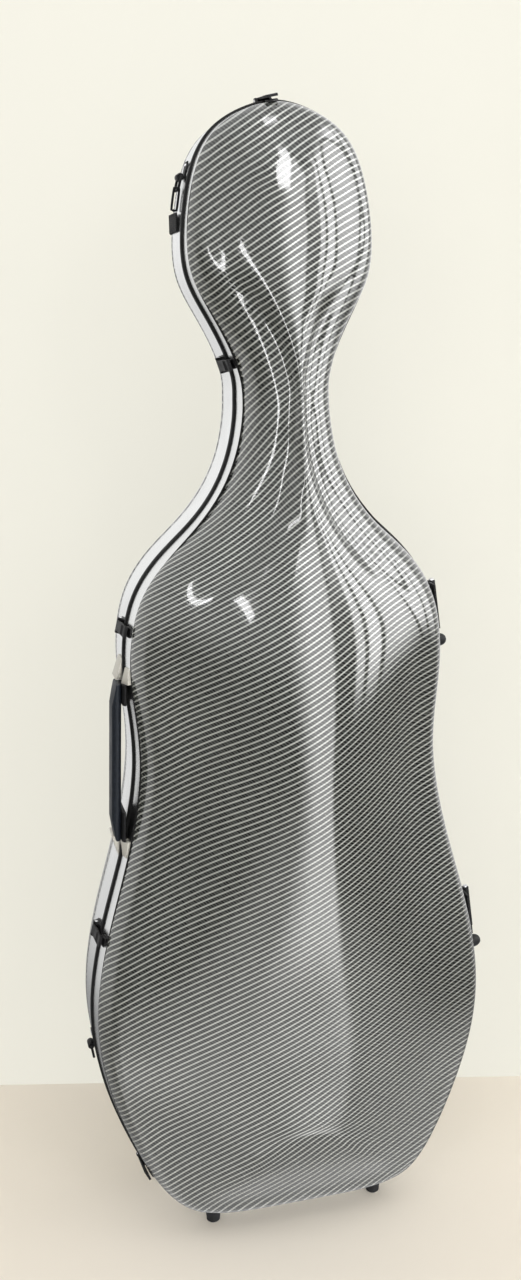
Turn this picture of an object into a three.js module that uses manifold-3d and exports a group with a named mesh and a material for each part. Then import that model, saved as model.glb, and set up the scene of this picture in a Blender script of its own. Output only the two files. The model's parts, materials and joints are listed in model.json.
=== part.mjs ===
// A cello hard case standing on its feet, in millimetres: X to the viewer's right, Y away from
// the viewer, Z up. The lid faces the viewer, and the two halves meet at a seam in the XZ plane.
import * as THREE from 'three';
import { mergeVertices } from 'three/addons/utils/BufferGeometryUtils.js';
import Module from 'manifold-3d';

const wasm = await Module();
wasm.setup();

// Outline at the seam: half widths, and the rise from each level to the next
const FOOT_HEIGHT = 14;
const LOWER_BOUT_HALF = 245;
const LOWER_BOUT_RISE = 291;
const WAIST_HALF = 180.3;
const WAIST_RISE = 320;
const UPPER_BOUT_HALF = 188;
const UPPER_BOUT_RISE = 118;
const NECK_HALF = 51;
const NECK_RISE = 287;
const HEAD_HALF = 106;
const HEAD_RISE = 166;
const CROWN_RISE = 144;

// Walls and the general clearances
const SHELL_WALL = 4;
const LINING_WALL = 10;
const LINING_FACE = 12;
const EDGE_ROUND = 45;
const SEAT_GAP = 0.3;
const RUNNING_GAP = 0.3;
const BORE_CLEARANCE = 0.1;
const OVERRUN = 5;
const CROWN_POWER_SHARE = 1.7;
const ROUND_REACH_SHARE = 0.72;

// Aluminium rims: the lid's is narrow, narrower still round the head, and leans in; the back's
// is wide and upright
const LID_BAND = 24;
const LID_HEAD_BAND = 12;
const LID_DRAFT = THREE.MathUtils.degToRad(8);
const BACK_BAND = 56;
const RIM_TONGUE = 4;
const RIM_TONGUE_WALL = 2;
const SEAL_WIDTH = 7;
const SEAL_PROUD = 1;
const SEAL_DEEP = 6;

// Depths from the seam to the crest of each half, and to its shoulders at the sides
const LID_CREST = { bottom: 96, lowerBout: 126, waist: 156, upperBout: 147, shoulder: 116, neck: 92, head: 78, crown: 66 };
const LID_SIDE = { bottom: 66, lowerBout: 78, waist: 80, upperBout: 80, shoulder: 84, neck: 78, head: 42, crown: 40 };
const LID_BANDS = {
  bottom: LID_BAND, lowerBout: LID_BAND, waist: LID_BAND, upperBout: LID_BAND, shoulder: LID_BAND,
  neck: LID_BAND, head: LID_HEAD_BAND, crown: LID_HEAD_BAND,
};
const BACK_CREST = { bottom: 122, lowerBout: 132, waist: 136, upperBout: 132, shoulder: 124, neck: 112, head: 108, crown: 100 };
const BACK_SIDE = { bottom: 112, lowerBout: 118, waist: 120, upperBout: 118, shoulder: 112, neck: 106, head: 98, crown: 92 };

// The spine that the rings of each half draw in to
const SPINE_FOOT_RISE = 150;
const SPINE_HEAD_DROP = 105;
const OUTLINE_SAMPLES = 72;

// Latches, along the left side and over the crown
const LATCH_LENGTH = 18;
const LATCH_PLATE = 1.8;
const LATCH_BASE_FRONT = 10;
const LATCH_BASE_BACK = 26;
const LATCH_EAR = 2.4;
const LATCH_EAR_HALF = 5;
const LATCH_PIVOT_OUT = 5.4;
const LATCH_PIVOT_IN = 22;
const LATCH_PIN_RADIUS = 1.6;
const LATCH_HUB_RADIUS = 3.2;
const LATCH_LEVER_WALL = 2.6;
const LATCH_LEVER_REACH = 15;
const LATCH_LIP = 3;
const LATCH_LEAN = 3.7;
const CATCH_FRONT = 19;
const CATCH_BACK = 5;
const CATCH_HEIGHT = 2.4;
const CATCH_WIDTH = 11;
const LATCH_LEVELS = { neck: 1066, shoulder: 773, lower_bout: 400, corner: 78 };
const CROWN_LATCH_OFFSET = 8;

// Hinges on the right side, on the line that touches both bouts
const HINGE_LENGTH = 54;
const HINGE_AXIS_OUT = 6;
const HINGE_KNUCKLE_RADIUS = 4.4;
const HINGE_PIN_RADIUS = 1.8;
const HINGE_PIN_HEAD = 2;
const HINGE_PIN_HEAD_RADIUS = 3;
const HINGE_LEAF_WALL = 2.2;
const HINGE_LEAF_BACK_WIDTH = 26;
const HINGE_LEAF_LID_WIDTH = 18;
const HINGE_LEVELS = { upper: 778, lower: 374 };

// Carrying handle over the waist on the left side
const HANDLE_TOP_LEVEL = 712;
const HANDLE_FOOT_LEVEL = 522;
const HANDLE_TOP_BLOCK = 25;
const HANDLE_FOOT_BLOCK = 37;
const HANDLE_STANDOFF = 6;
const HANDLE_GRIP_THICK = 11;
const HANDLE_GRIP_WIDE = 30;
const HANDLE_GRIP_TAPER = 26;
const HANDLE_GRIP_TAPER_DROP = 5;
const HANDLE_GRIP_BEVEL = 3;
const HANDLE_BLOCK_FRONT = 19;
const HANDLE_BLOCK_BACK = 36;
const RAMP_LENGTH = 24;
const RAMP_TIP = 2;
const RAMP_HEIGHT = 9;
const RAMP_BACK = 34;

// Rubber feet and side bumpers
const FOOT_SPREAD = 107;
const FOOT_RADIUS = 10;
const FOOT_TOE_RADIUS = 8.5;
const LID_FOOT_IN = 20;
const BACK_FOOT_IN = 68;
const BUMPER_RADIUS = 8.5;
const BUMPER_BASE = 4.5;
const BUMPER_LEVELS = { upper: 736, lower: 333 };

// Strap fittings on the back rim
const RING_IN = 35;
const UPPER_RING_LEVEL = 1272;
const LOWER_RING_LEVEL = 250;
const BRACKET_WIDE = 13;
const BRACKET_HIGH = 18;
const BRACKET_WALL = 2;
const BRACKET_KNUCKLE_RADIUS = 4.2;
const RING_AXIS_OUT = 5.6;
const RING_WIRE = 1.5;
const RING_BEND = 3;
const RING_WIDE = 24;
const RING_HIGH = 17;
const HOOK_WIRE = 1.3;
const HOOK_HIGH = 27;
const HOOK_WIDE = 8.6;
const STRAP_WALL = 2;
const STRAP_WIDE = 20;
const STRAP_GAP = 0.8;
const STRAP_END = 8;
const STRAP_LEVEL = 1218;

// Pads that hold the instrument, and the bow fittings
const CRADLE_LEVEL = 962;
const CRADLE_HIGH = 62;
const CRADLE_FRONT = 22;
const CRADLE_GROOVE_HALF = 19;
const CRADLE_GROOVE_DEEP = 34;
const BOUT_PAD_HIGH = 120;
const BOUT_PAD_THICK = 26;
const BOUT_PAD_FRONT = 12;
const BOUT_PAD_LEVELS = { upper: 745, lower: 300 };
const FOOT_BLOCK_HALF = 60;
const FOOT_BLOCK_HIGH = 46;
const FOOT_BLOCK_FRONT = 16;
const ENDPIN_SLOT_HALF = 16;
const ENDPIN_SLOT_DEEP = 30;
const BOW_SPREAD = 52;
const BOW_TIP_LEVEL = 862;
const BOW_TIP_HIGH = 50;
const BOW_TIP_FRONT = 46;
const BOW_CLIP_LEVEL = 235;
const BOW_CLIP_HALF = 17;
const BOW_CLIP_FRONT = 84;
const BOW_TAB_WALL = 4;
const BOW_TAB_LONG = 40;
const BOW_TAB_WIDE = 12;
const BOW_POST_RADIUS = 4;

const SHELL_BOTTOM = FOOT_HEIGHT;
const LOWER_BOUT_LEVEL = SHELL_BOTTOM + LOWER_BOUT_RISE;
const WAIST_LEVEL = LOWER_BOUT_LEVEL + WAIST_RISE;
const UPPER_BOUT_LEVEL = WAIST_LEVEL + UPPER_BOUT_RISE;
const NECK_LEVEL = UPPER_BOUT_LEVEL + NECK_RISE;
const SHOULDER_LEVEL = (UPPER_BOUT_LEVEL + NECK_LEVEL) / 2;
const HEAD_LEVEL = NECK_LEVEL + HEAD_RISE;
const SHELL_TOP = HEAD_LEVEL + CROWN_RISE;
const SPINE_FOOT = SHELL_BOTTOM + SPINE_FOOT_RISE;
const SPINE_HEAD = SHELL_TOP - SPINE_HEAD_DROP;
const LEVELS = [
  SHELL_BOTTOM, LOWER_BOUT_LEVEL, WAIST_LEVEL, UPPER_BOUT_LEVEL,
  SHOULDER_LEVEL, NECK_LEVEL, HEAD_LEVEL, SHELL_TOP,
];

const finish = (color, roughness, metalness) => new THREE.MeshStandardMaterial({ color, roughness, metalness });
const CARBON = finish(0x4a4c4b, 0.25, 0.3);
const ALUMINIUM = finish(0xc9cac8, 0.2, 0.9);
const CAST = finish(0xb9b5a8, 0.4, 0.6);
const RUBBER = finish(0x141415, 0.7, 0);
const BLACK_METAL = finish(0x17181a, 0.4, 0.5);
const GRIP = finish(0x23262b, 0.6, 0);
const STEEL = finish(0xa8aaad, 0.3, 0.9);
const VELVET = finish(0x26272b, 0.95, 0);
const FOAM = finish(0x33353a, 0.95, 0);
const WEBBING = finish(0x131314, 0.9, 0);

const part = new THREE.Group();

// The right half of the outline, from the foot to the crown: each stretch runs between two
// levels, and its own points are shares of the way across and up between them
const STRETCHES = [
  { half: 0, level: SHELL_BOTTOM, shares: [[0.4, 0.005], [0.58, 0.048], [0.706, 0.151], [0.816, 0.326], [0.922, 0.567], [0.98, 0.777]] },
  { half: LOWER_BOUT_HALF, level: LOWER_BOUT_LEVEL, shares: [[0.185, 0.253], [0.508, 0.49], [0.815, 0.712], [0.969, 0.897]] },
  { half: WAIST_HALF, level: WAIST_LEVEL, shares: [[0.19, 0.3], [0.75, 0.636]] },
  { half: UPPER_BOUT_HALF, level: UPPER_BOUT_LEVEL, shares: [[0.073, 0.209], [0.336, 0.397], [0.693, 0.557], [0.905, 0.732], [0.993, 0.913]] },
  { half: NECK_HALF, level: NECK_LEVEL, shares: [[0.036, 0.169], [0.436, 0.47], [0.873, 0.717]] },
  { half: HEAD_HALF, level: HEAD_LEVEL, shares: [[0.075, 0.396], [0.236, 0.722], [0.566, 0.91]] },
  { half: 0, level: SHELL_TOP, shares: [] },
];

function outlineCurve() {
  const right = [];
  STRETCHES.forEach((from, index) => {
    right.push(new THREE.Vector3(from.half, 0, from.level));
    const to = STRETCHES[index + 1];
    for (const [across, up] of from.shares) {
      const x = THREE.MathUtils.lerp(from.half, to.half, across);
      const z = THREE.MathUtils.lerp(from.level, to.level, up);
      right.push(new THREE.Vector3(x, 0, z));
    }
  });
  const left = right.slice(1, -1).reverse().map((point) => new THREE.Vector3(-point.x, 0, point.z));
  return new THREE.CatmullRomCurve3([...right, ...left], true, 'centripetal');
}

// Samples of the outline with their inward normals and the spine point that each draws in to;
// the left half repeats the right half's numbers, so the two meet exactly on the spine
function outlineSamples() {
  const curve = outlineCurve();
  const halfCount = OUTLINE_SAMPLES / 2;
  const right = [];
  for (let index = 0; index <= halfCount; index += 1) {
    const share = index / OUTLINE_SAMPLES;
    const point = curve.getPoint(share);
    const tangent = curve.getTangent(share);
    const onAxis = index === 0 || index === halfCount;
    const x = onAxis ? 0 : point.x;
    const normal = new THREE.Vector2(onAxis ? 0 : -tangent.z, tangent.x).normalize();
    const spine = THREE.MathUtils.clamp(point.z, SPINE_FOOT, SPINE_HEAD);
    right.push({ x, z: point.z, nx: normal.x, nz: normal.y, spine });
  }
  const left = right.slice(1, -1).reverse().map((s) => ({ ...s, x: -s.x, nx: -s.nx }));
  return [...right, ...left];
}

const SAMPLES = outlineSamples();

function depthCurve(depths) {
  const curve = new THREE.CubicInterpolant(LEVELS, Object.values(depths), 1);
  return (level) => curve.evaluate(level)[0];
}

const LID = {
  facing: -1, seam: 0, bandEnd: depthCurve(LID_BANDS), slope: Math.tan(LID_DRAFT),
  crest: depthCurve(LID_CREST), side: depthCurve(LID_SIDE),
};
const BACK = {
  facing: 1, seam: SEAL_WIDTH, bandEnd: () => SEAL_WIDTH + BACK_BAND, slope: 0,
  crest: depthCurve(BACK_CREST), side: depthCurve(BACK_SIDE),
};

// One ring of a half. `wall` and `face` say how far it lies inside the outer skin at the side
// wall and at the face; the place is a depth on the wall, a distance past the band's end, a
// share of the rounded edge, or a share of the way over the face to the spine
function ringOf(half, place, wall, face) {
  return SAMPLES.map((sample) => {
    const side = half.side(sample.z);
    const reach = Math.hypot(sample.x, sample.z - sample.spine);
    const bandEnd = half.bandEnd(sample.z);
    const round = Math.min(EDGE_ROUND, side - bandEnd - RIM_TONGUE - SEAT_GAP, ROUND_REACH_SHARE * reach);
    const straight = side - round;
    const centre = half.slope * straight + round;
    let inset = centre;
    let depth = side - face;
    if (place.depth !== undefined || place.past !== undefined) {
      depth = place.depth ?? bandEnd + place.past;
      inset = half.slope * depth + wall;
    } else if (place.round !== undefined) {
      const angle = place.round * Math.PI / 2;
      inset = centre - (round - wall) * Math.cos(angle);
      depth = straight + (round - face) * Math.sin(angle);
    }
    let x = sample.x + sample.nx * inset;
    let z = sample.z + sample.nz * inset;
    if (place.over !== undefined) {
      const rise = 1 - (1 - place.over) ** CROWN_POWER_SHARE;
      x = place.over === 1 ? 0 : THREE.MathUtils.lerp(x, 0, place.over);
      z = place.over === 1 ? sample.spine : THREE.MathUtils.lerp(z, sample.spine, place.over);
      depth = THREE.MathUtils.lerp(side, half.crest(sample.spine), rise) - face;
    }
    return new THREE.Vector3(x, half.facing * depth, z);
  });
}

const OUTER_PLACES = [{ round: 0 }, { round: 1 / 3 }, { round: 2 / 3 }, { round: 1 }, { over: 0.25 }, { over: 0.55 }, { over: 1 }];
const INNER_PLACES = [{ round: 0 }, { round: 1 / 2 }, { round: 1 }, { over: 0.4 }, { over: 1 }];

function skin(half, start, places, wall, face) {
  return [start, ...places].map((place) => ringOf(half, place, wall, face));
}

// The triangles between neighbouring rings; those of no area, where rings draw together, are
// dropped, and `inward` turns the rest over
function stripCorners(rings, inward) {
  const count = rings[0].length;
  const corners = [];
  const addTriangle = (a, b, c) => {
    if (a.equals(b) || b.equals(c) || c.equals(a)) return;
    corners.push(...(inward ? [a, c, b] : [a, b, c]));
  };
  for (let ring = 0; ring + 1 < rings.length; ring += 1) {
    const [near, far] = [rings[ring], rings[ring + 1]];
    for (let index = 0; index < count; index += 1) {
      const next = (index + 1) % count;
      addTriangle(near[index], near[next], far[next]);
      addTriangle(near[index], far[next], far[index]);
    }
  }
  return corners;
}

function bodyFromCorners(corners) {
  return outward(new THREE.BufferGeometry().setFromPoints(corners));
}

// One body whose rings follow each other round a closed section
function bodyFromRings(rings) {
  return bodyFromCorners(stripCorners([...rings, rings[0]], false));
}

// A bowl between an outer and an inner skin, joined at their first rings
function bowl(outer, inner) {
  const edge = stripCorners([inner[0], outer[0]], false);
  return bodyFromCorners([...stripCorners(outer, false), ...stripCorners(inner, true), ...edge]);
}

function merged(geometry) {
  const plain = geometry.clone();
  plain.deleteAttribute('normal');
  plain.deleteAttribute('uv');
  return mergeVertices(plain);
}

function outward(geometry) {
  const shape = merged(geometry);
  const place = shape.attributes.position;
  const index = shape.index.array;
  const [a, b, c] = [new THREE.Vector3(), new THREE.Vector3(), new THREE.Vector3()];
  let volume = 0;
  for (let corner = 0; corner < index.length; corner += 3) {
    a.fromBufferAttribute(place, index[corner]);
    b.fromBufferAttribute(place, index[corner + 1]);
    c.fromBufferAttribute(place, index[corner + 2]);
    volume += a.dot(b.cross(c));
  }
  if (volume < 0) {
    for (let corner = 0; corner < index.length; corner += 3) {
      [index[corner], index[corner + 1]] = [index[corner + 1], index[corner]];
    }
  }
  return shape;
}

function solidOf(geometry) {
  const shape = merged(geometry);
  const vertProperties = new Float32Array(shape.attributes.position.array);
  const triVerts = new Uint32Array(shape.index.array);
  return new wasm.Manifold(new wasm.Mesh({ numProp: 3, vertProperties, triVerts }));
}

function geometryOf(solid) {
  const mesh = solid.getMesh();
  const geometry = new THREE.BufferGeometry();
  geometry.setAttribute('position', new THREE.BufferAttribute(new Float32Array(mesh.vertProperties), 3));
  geometry.setIndex(new THREE.BufferAttribute(new Uint32Array(mesh.triVerts), 1));
  return geometry;
}

function union(first, ...others) {
  return geometryOf(others.reduce((sum, other) => sum.add(solidOf(other)), solidOf(first)));
}

function cut(first, ...others) {
  return geometryOf(others.reduce((rest, other) => rest.subtract(solidOf(other)), solidOf(first)));
}

function common(first, second) {
  return geometryOf(solidOf(first).intersect(solidOf(second)));
}

function add(parent, name, geometry, material) {
  const mesh = new THREE.Mesh(geometry, material);
  mesh.name = name;
  parent.add(mesh);
  return mesh;
}

function block([x0, x1], [y0, y1], [z0, z1]) {
  const box = new THREE.BoxGeometry(x1 - x0, y1 - y0, z1 - z0);
  return box.translate((x0 + x1) / 2, (y0 + y1) / 2, (z0 + z1) / 2);
}

// A flat outline pulled along Z, centred on z = 0
function pulled(points, length, holes = []) {
  const corners = points.map(([x, y]) => new THREE.Vector2(x, y));
  const shape = new THREE.Shape(THREE.ShapeUtils.isClockWise(corners) ? corners.reverse() : corners);
  for (const hole of holes) {
    shape.holes.push(new THREE.Path().absarc(hole.x, hole.y, hole.radius, 0, 2 * Math.PI, true));
  }
  const geometry = new THREE.ExtrudeGeometry(shape, { depth: length, bevelEnabled: false, curveSegments: 8 });
  return geometry.translate(0, 0, -length / 2);
}

function roundBar(radius, length, sides = 12) {
  return new THREE.CylinderGeometry(radius, radius, length, sides).rotateX(Math.PI / 2);
}

// Shells, rims, seal and linings
function addShell(name, half) {
  const start = { past: SEAT_GAP };
  const outer = skin(half, start, OUTER_PLACES, 0, 0);
  const inner = skin(half, start, INNER_PLACES, SHELL_WALL, SHELL_WALL);
  add(part, name, bowl(outer, inner), CARBON);
}

const TONGUE_OUT = SHELL_WALL + SEAT_GAP;
const TONGUE_IN = TONGUE_OUT + RIM_TONGUE_WALL;
const LINING_OUT = TONGUE_IN + SEAT_GAP;
const LINING_UNDER_FACE = SHELL_WALL + SEAT_GAP;

function addRim(name, half) {
  const seam = { depth: half.seam };
  const bandEnd = { past: 0 };
  const tongueEnd = { past: RIM_TONGUE };
  const corners = [
    [seam, 0], [bandEnd, 0], [bandEnd, TONGUE_OUT], [tongueEnd, TONGUE_OUT], [tongueEnd, TONGUE_IN], [seam, TONGUE_IN],
  ];
  const rings = corners.map(([place, wall]) => ringOf(half, place, wall, 0));
  add(part, name, bodyFromRings(rings), ALUMINIUM);
}

function addSeal() {
  const near = SEAT_GAP;
  const far = SEAL_WIDTH - SEAT_GAP;
  const corners = [[near, -SEAL_PROUD], [far, -SEAL_PROUD], [far, SEAL_DEEP], [near, SEAL_DEEP]];
  const rings = corners.map(([depth, wall]) => ringOf(BACK, { depth }, wall, 0));
  add(part, 'rim_seal', bodyFromRings(rings), RUBBER);
}

function addLining(name, half) {
  const start = { depth: half.seam + SEAT_GAP };
  const outer = skin(half, start, INNER_PLACES, LINING_OUT, LINING_UNDER_FACE);
  const inner = skin(half, start, INNER_PLACES, LINING_OUT + LINING_WALL, LINING_UNDER_FACE + LINING_FACE);
  add(part, name, bowl(outer, inner), VELVET);
}

// The hollow inside a lining, less the seat gap, as a closed body: what rests in it is cut to it
function hollow(half) {
  const start = half.seam + SEAT_GAP;
  const wall = LINING_OUT + LINING_WALL + SEAT_GAP;
  const face = LINING_UNDER_FACE + LINING_FACE + SEAT_GAP;
  const rings = skin(half, { depth: start }, INNER_PLACES, wall, face);
  const cap = SAMPLES.map((sample) => new THREE.Vector3(0, half.facing * start, sample.spine));
  return bodyFromCorners(stripCorners([cap, ...rings], false));
}

// The half outline as a chain of straight facets, measured from the foot to the crown
const CHAIN = SAMPLES.slice(0, OUTLINE_SAMPLES / 2 + 1).map((sample) => new THREE.Vector2(sample.x, sample.z));
const CHAIN_LENGTHS = CHAIN.slice(1).map((point, index) => point.distanceTo(CHAIN[index]));
const CHAIN_TOTAL = CHAIN_LENGTHS.reduce((sum, length) => sum + length, 0);

function chainPoint(distance) {
  if (distance < 0) return chainPoint(-distance).multiply(new THREE.Vector2(-1, 1));
  if (distance > CHAIN_TOTAL) return chainPoint(2 * CHAIN_TOTAL - distance).multiply(new THREE.Vector2(-1, 1));
  let left = distance;
  let index = 0;
  while (index < CHAIN_LENGTHS.length - 1 && left > CHAIN_LENGTHS[index]) {
    left -= CHAIN_LENGTHS[index];
    index += 1;
  }
  return CHAIN[index].clone().lerp(CHAIN[index + 1], left / CHAIN_LENGTHS[index]);
}

function chainDistance(level) {
  let distance = 0;
  for (let index = 0; index < CHAIN_LENGTHS.length; index += 1) {
    const [from, to] = [CHAIN[index], CHAIN[index + 1]];
    if (level <= to.y) return distance + CHAIN_LENGTHS[index] * (level - from.y) / (to.y - from.y);
    distance += CHAIN_LENGTHS[index];
  }
  return CHAIN_TOTAL;
}

// A group whose X points out of the side wall and whose Z runs along the seam, resting on the
// highest point of the wall within the seat's length
function seatGroup(distance, length, side) {
  const start = chainPoint(distance - length / 2);
  const end = chainPoint(distance + length / 2);
  const along = end.clone().sub(start).normalize();
  const out = new THREE.Vector2(along.y, -along.x);
  let high = 0;
  let walked = 0;
  CHAIN.forEach((corner, index) => {
    if (Math.abs(walked - distance) < length / 2) high = Math.max(high, corner.clone().sub(start).dot(out));
    walked += CHAIN_LENGTHS[index] ?? 0;
  });
  const middle = start.clone().lerp(end, 1 / 2).addScaledVector(out, high);
  const group = new THREE.Group();
  group.position.set(side * middle.x, 0, middle.y);
  group.rotation.y = Math.atan2(-out.y, side * out.x);
  part.add(group);
  return group;
}

const LEFT = -1;
const RIGHT = 1;

// A latch: a base with two ears and their pin on the back rim, a lever that turns on the pin
// and lies over the seam, and a catch on the lid rim that the lever covers
function addLatch(name, distance) {
  const seat = seatGroup(distance, LATCH_LENGTH, LEFT);
  const baseIn = LATCH_BASE_BACK + SEAL_WIDTH;
  const plate = block([SEAT_GAP, LATCH_PLATE], [LATCH_BASE_FRONT, baseIn], [-LATCH_LENGTH / 2, LATCH_LENGTH / 2]);
  const earTop = LATCH_PIVOT_OUT + LATCH_HUB_RADIUS;
  const earPoints = [
    [SEAT_GAP, LATCH_PIVOT_IN - 2 * LATCH_EAR_HALF], [SEAT_GAP, LATCH_PIVOT_IN + 2 * LATCH_EAR_HALF],
    [earTop, LATCH_PIVOT_IN + LATCH_EAR_HALF / 2], [earTop, LATCH_PIVOT_IN - LATCH_EAR_HALF / 2],
  ];
  const earPlace = (LATCH_LENGTH - LATCH_EAR) / 2;
  const ears = [-earPlace, earPlace].map((place) => pulled(earPoints, LATCH_EAR).translate(0, 0, place));
  const pin = roundBar(LATCH_PIN_RADIUS, LATCH_LENGTH - LATCH_EAR).translate(LATCH_PIVOT_OUT, LATCH_PIVOT_IN, 0);
  add(seat, `latch_base_${name}`, union(plate, ...ears, pin), BLACK_METAL);

  const leverWidth = LATCH_LENGTH - 2 * (LATCH_EAR + RUNNING_GAP);
  const top = LATCH_HUB_RADIUS;
  const under = top - LATCH_LEVER_WALL;
  const tip = -LATCH_PIVOT_IN - LATCH_LEVER_REACH;
  const [tipTop, tipUnder] = [top - LATCH_LEAN, under - LATCH_LEAN];
  const leverPoints = [
    [tipUnder, tip - LATCH_LIP], [tipTop, tip - LATCH_LIP], [tipTop + LATCH_LIP / 4, tip],
    [tipTop + LATCH_LIP / 4, tip + LATCH_LIP], [top, LATCH_HUB_RADIUS / 2], [LATCH_HUB_RADIUS / 2, LATCH_HUB_RADIUS],
    [-LATCH_HUB_RADIUS / 2, LATCH_HUB_RADIUS], [-LATCH_HUB_RADIUS, LATCH_HUB_RADIUS / 2],
    [-LATCH_HUB_RADIUS, -LATCH_HUB_RADIUS / 2], [-LATCH_HUB_RADIUS / 2, -LATCH_HUB_RADIUS], [under, -2 * LATCH_HUB_RADIUS],
  ];
  const bore = { x: 0, y: 0, radius: LATCH_PIN_RADIUS + BORE_CLEARANCE };
  const lever = add(seat, `latch_lever_${name}`, pulled(leverPoints, leverWidth, [bore]), BLACK_METAL);
  lever.position.set(LATCH_PIVOT_OUT, LATCH_PIVOT_IN, 0);

  const onBand = (height, inward) => [height - LID.slope * inward, -inward];
  const catchPoints = [
    onBand(SEAT_GAP, CATCH_BACK), onBand(CATCH_HEIGHT, CATCH_BACK), onBand(CATCH_HEIGHT, CATCH_FRONT - LATCH_LIP),
    onBand(CATCH_HEIGHT / 2, CATCH_FRONT), onBand(SEAT_GAP, CATCH_FRONT),
  ];
  add(seat, `latch_catch_${name}`, pulled(catchPoints, CATCH_WIDTH), BLACK_METAL);
}

// The line that touches both bouts on the right side, as its lower and upper points
function boutTangent() {
  const bouts = CHAIN.filter((corner) => corner.y < NECK_LEVEL);
  let best = { length: 0 };
  for (const low of bouts) {
    for (const high of bouts.filter((corner) => corner.y > low.y)) {
      const along = high.clone().sub(low).normalize();
      const out = new THREE.Vector2(along.y, -along.x);
      const length = high.distanceTo(low);
      const clear = bouts.every((corner) => corner.clone().sub(low).dot(out) < SEAT_GAP);
      if (clear && length > best.length) best = { low, along, out, length };
    }
  }
  return best;
}

// A hinge: two leaves with interleaved knuckles, and the pin that joins them
function addHinge(name, level) {
  const line = boutTangent();
  const travel = (level - line.low.y) / line.along.y;
  const centre = line.low.clone().addScaledVector(line.along, travel).addScaledVector(line.out, HINGE_AXIS_OUT);
  const group = new THREE.Group();
  group.position.set(centre.x, SEAL_WIDTH / 2, centre.y);
  group.rotation.y = Math.atan2(-line.out.y, line.out.x);
  part.add(group);

  // How far the wall lies below the axis within the hinge's length
  let gap = Infinity;
  for (let share = -1; share <= 1; share += 1 / 8) {
    const probe = centre.clone().addScaledVector(line.along, share * HINGE_LENGTH / 2);
    const wall = chainPoint(chainDistance(probe.y));
    gap = Math.min(gap, probe.clone().sub(wall).dot(line.out));
  }
  const leafFoot = -gap + SEAT_GAP;
  const leafTop = leafFoot + HINGE_LEAF_WALL;
  const third = HINGE_LENGTH / 3;
  const half = HINGE_LENGTH / 2;
  const bore = { x: 0, y: 0, radius: HINGE_PIN_RADIUS + BORE_CLEARANCE };
  const knuckleLength = third - RUNNING_GAP;

  const knuckle = (facing, place) => {
    const start = facing * (HINGE_KNUCKLE_RADIUS + SEAT_GAP);
    const web = facing * (SEAL_WIDTH / 2 + SEAT_GAP);
    const points = [[leafFoot, start], [leafTop, start]];
    const steps = 12;
    for (let step = 0; step <= steps; step += 1) {
      const angle = facing * Math.PI * (1 / 2 - 3 / 2 * step / steps);
      points.push([HINGE_KNUCKLE_RADIUS * Math.cos(angle), HINGE_KNUCKLE_RADIUS * Math.sin(angle)]);
    }
    points.push([leafFoot + SEAL_PROUD + SEAT_GAP, web], [leafFoot, web]);
    return pulled(points, knuckleLength, [bore]).translate(0, 0, place);
  };
  const leaf = (facing, width) => {
    const near = facing * (HINGE_KNUCKLE_RADIUS + SEAT_GAP);
    const far = near + facing * width;
    return block([leafFoot, leafTop], [Math.min(near, far), Math.max(near, far)], [-half, half]);
  };
  const outer = third + RUNNING_GAP / 2;
  add(group, `hinge_leaf_back_${name}`, union(leaf(1, HINGE_LEAF_BACK_WIDTH), knuckle(1, -outer), knuckle(1, outer)), BLACK_METAL);
  add(group, `hinge_leaf_lid_${name}`, union(leaf(-1, HINGE_LEAF_LID_WIDTH), knuckle(-1, 0)), BLACK_METAL);
  const pinLength = HINGE_LENGTH + 2 * RUNNING_GAP;
  const heads = [-1, 1].map((end) => roundBar(HINGE_PIN_HEAD_RADIUS, HINGE_PIN_HEAD)
    .translate(0, 0, end * (pinLength + HINGE_PIN_HEAD) / 2));
  add(group, `hinge_pin_${name}`, union(roundBar(HINGE_PIN_RADIUS, pinLength + HINGE_PIN_HEAD), ...heads), STEEL);
}

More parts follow.
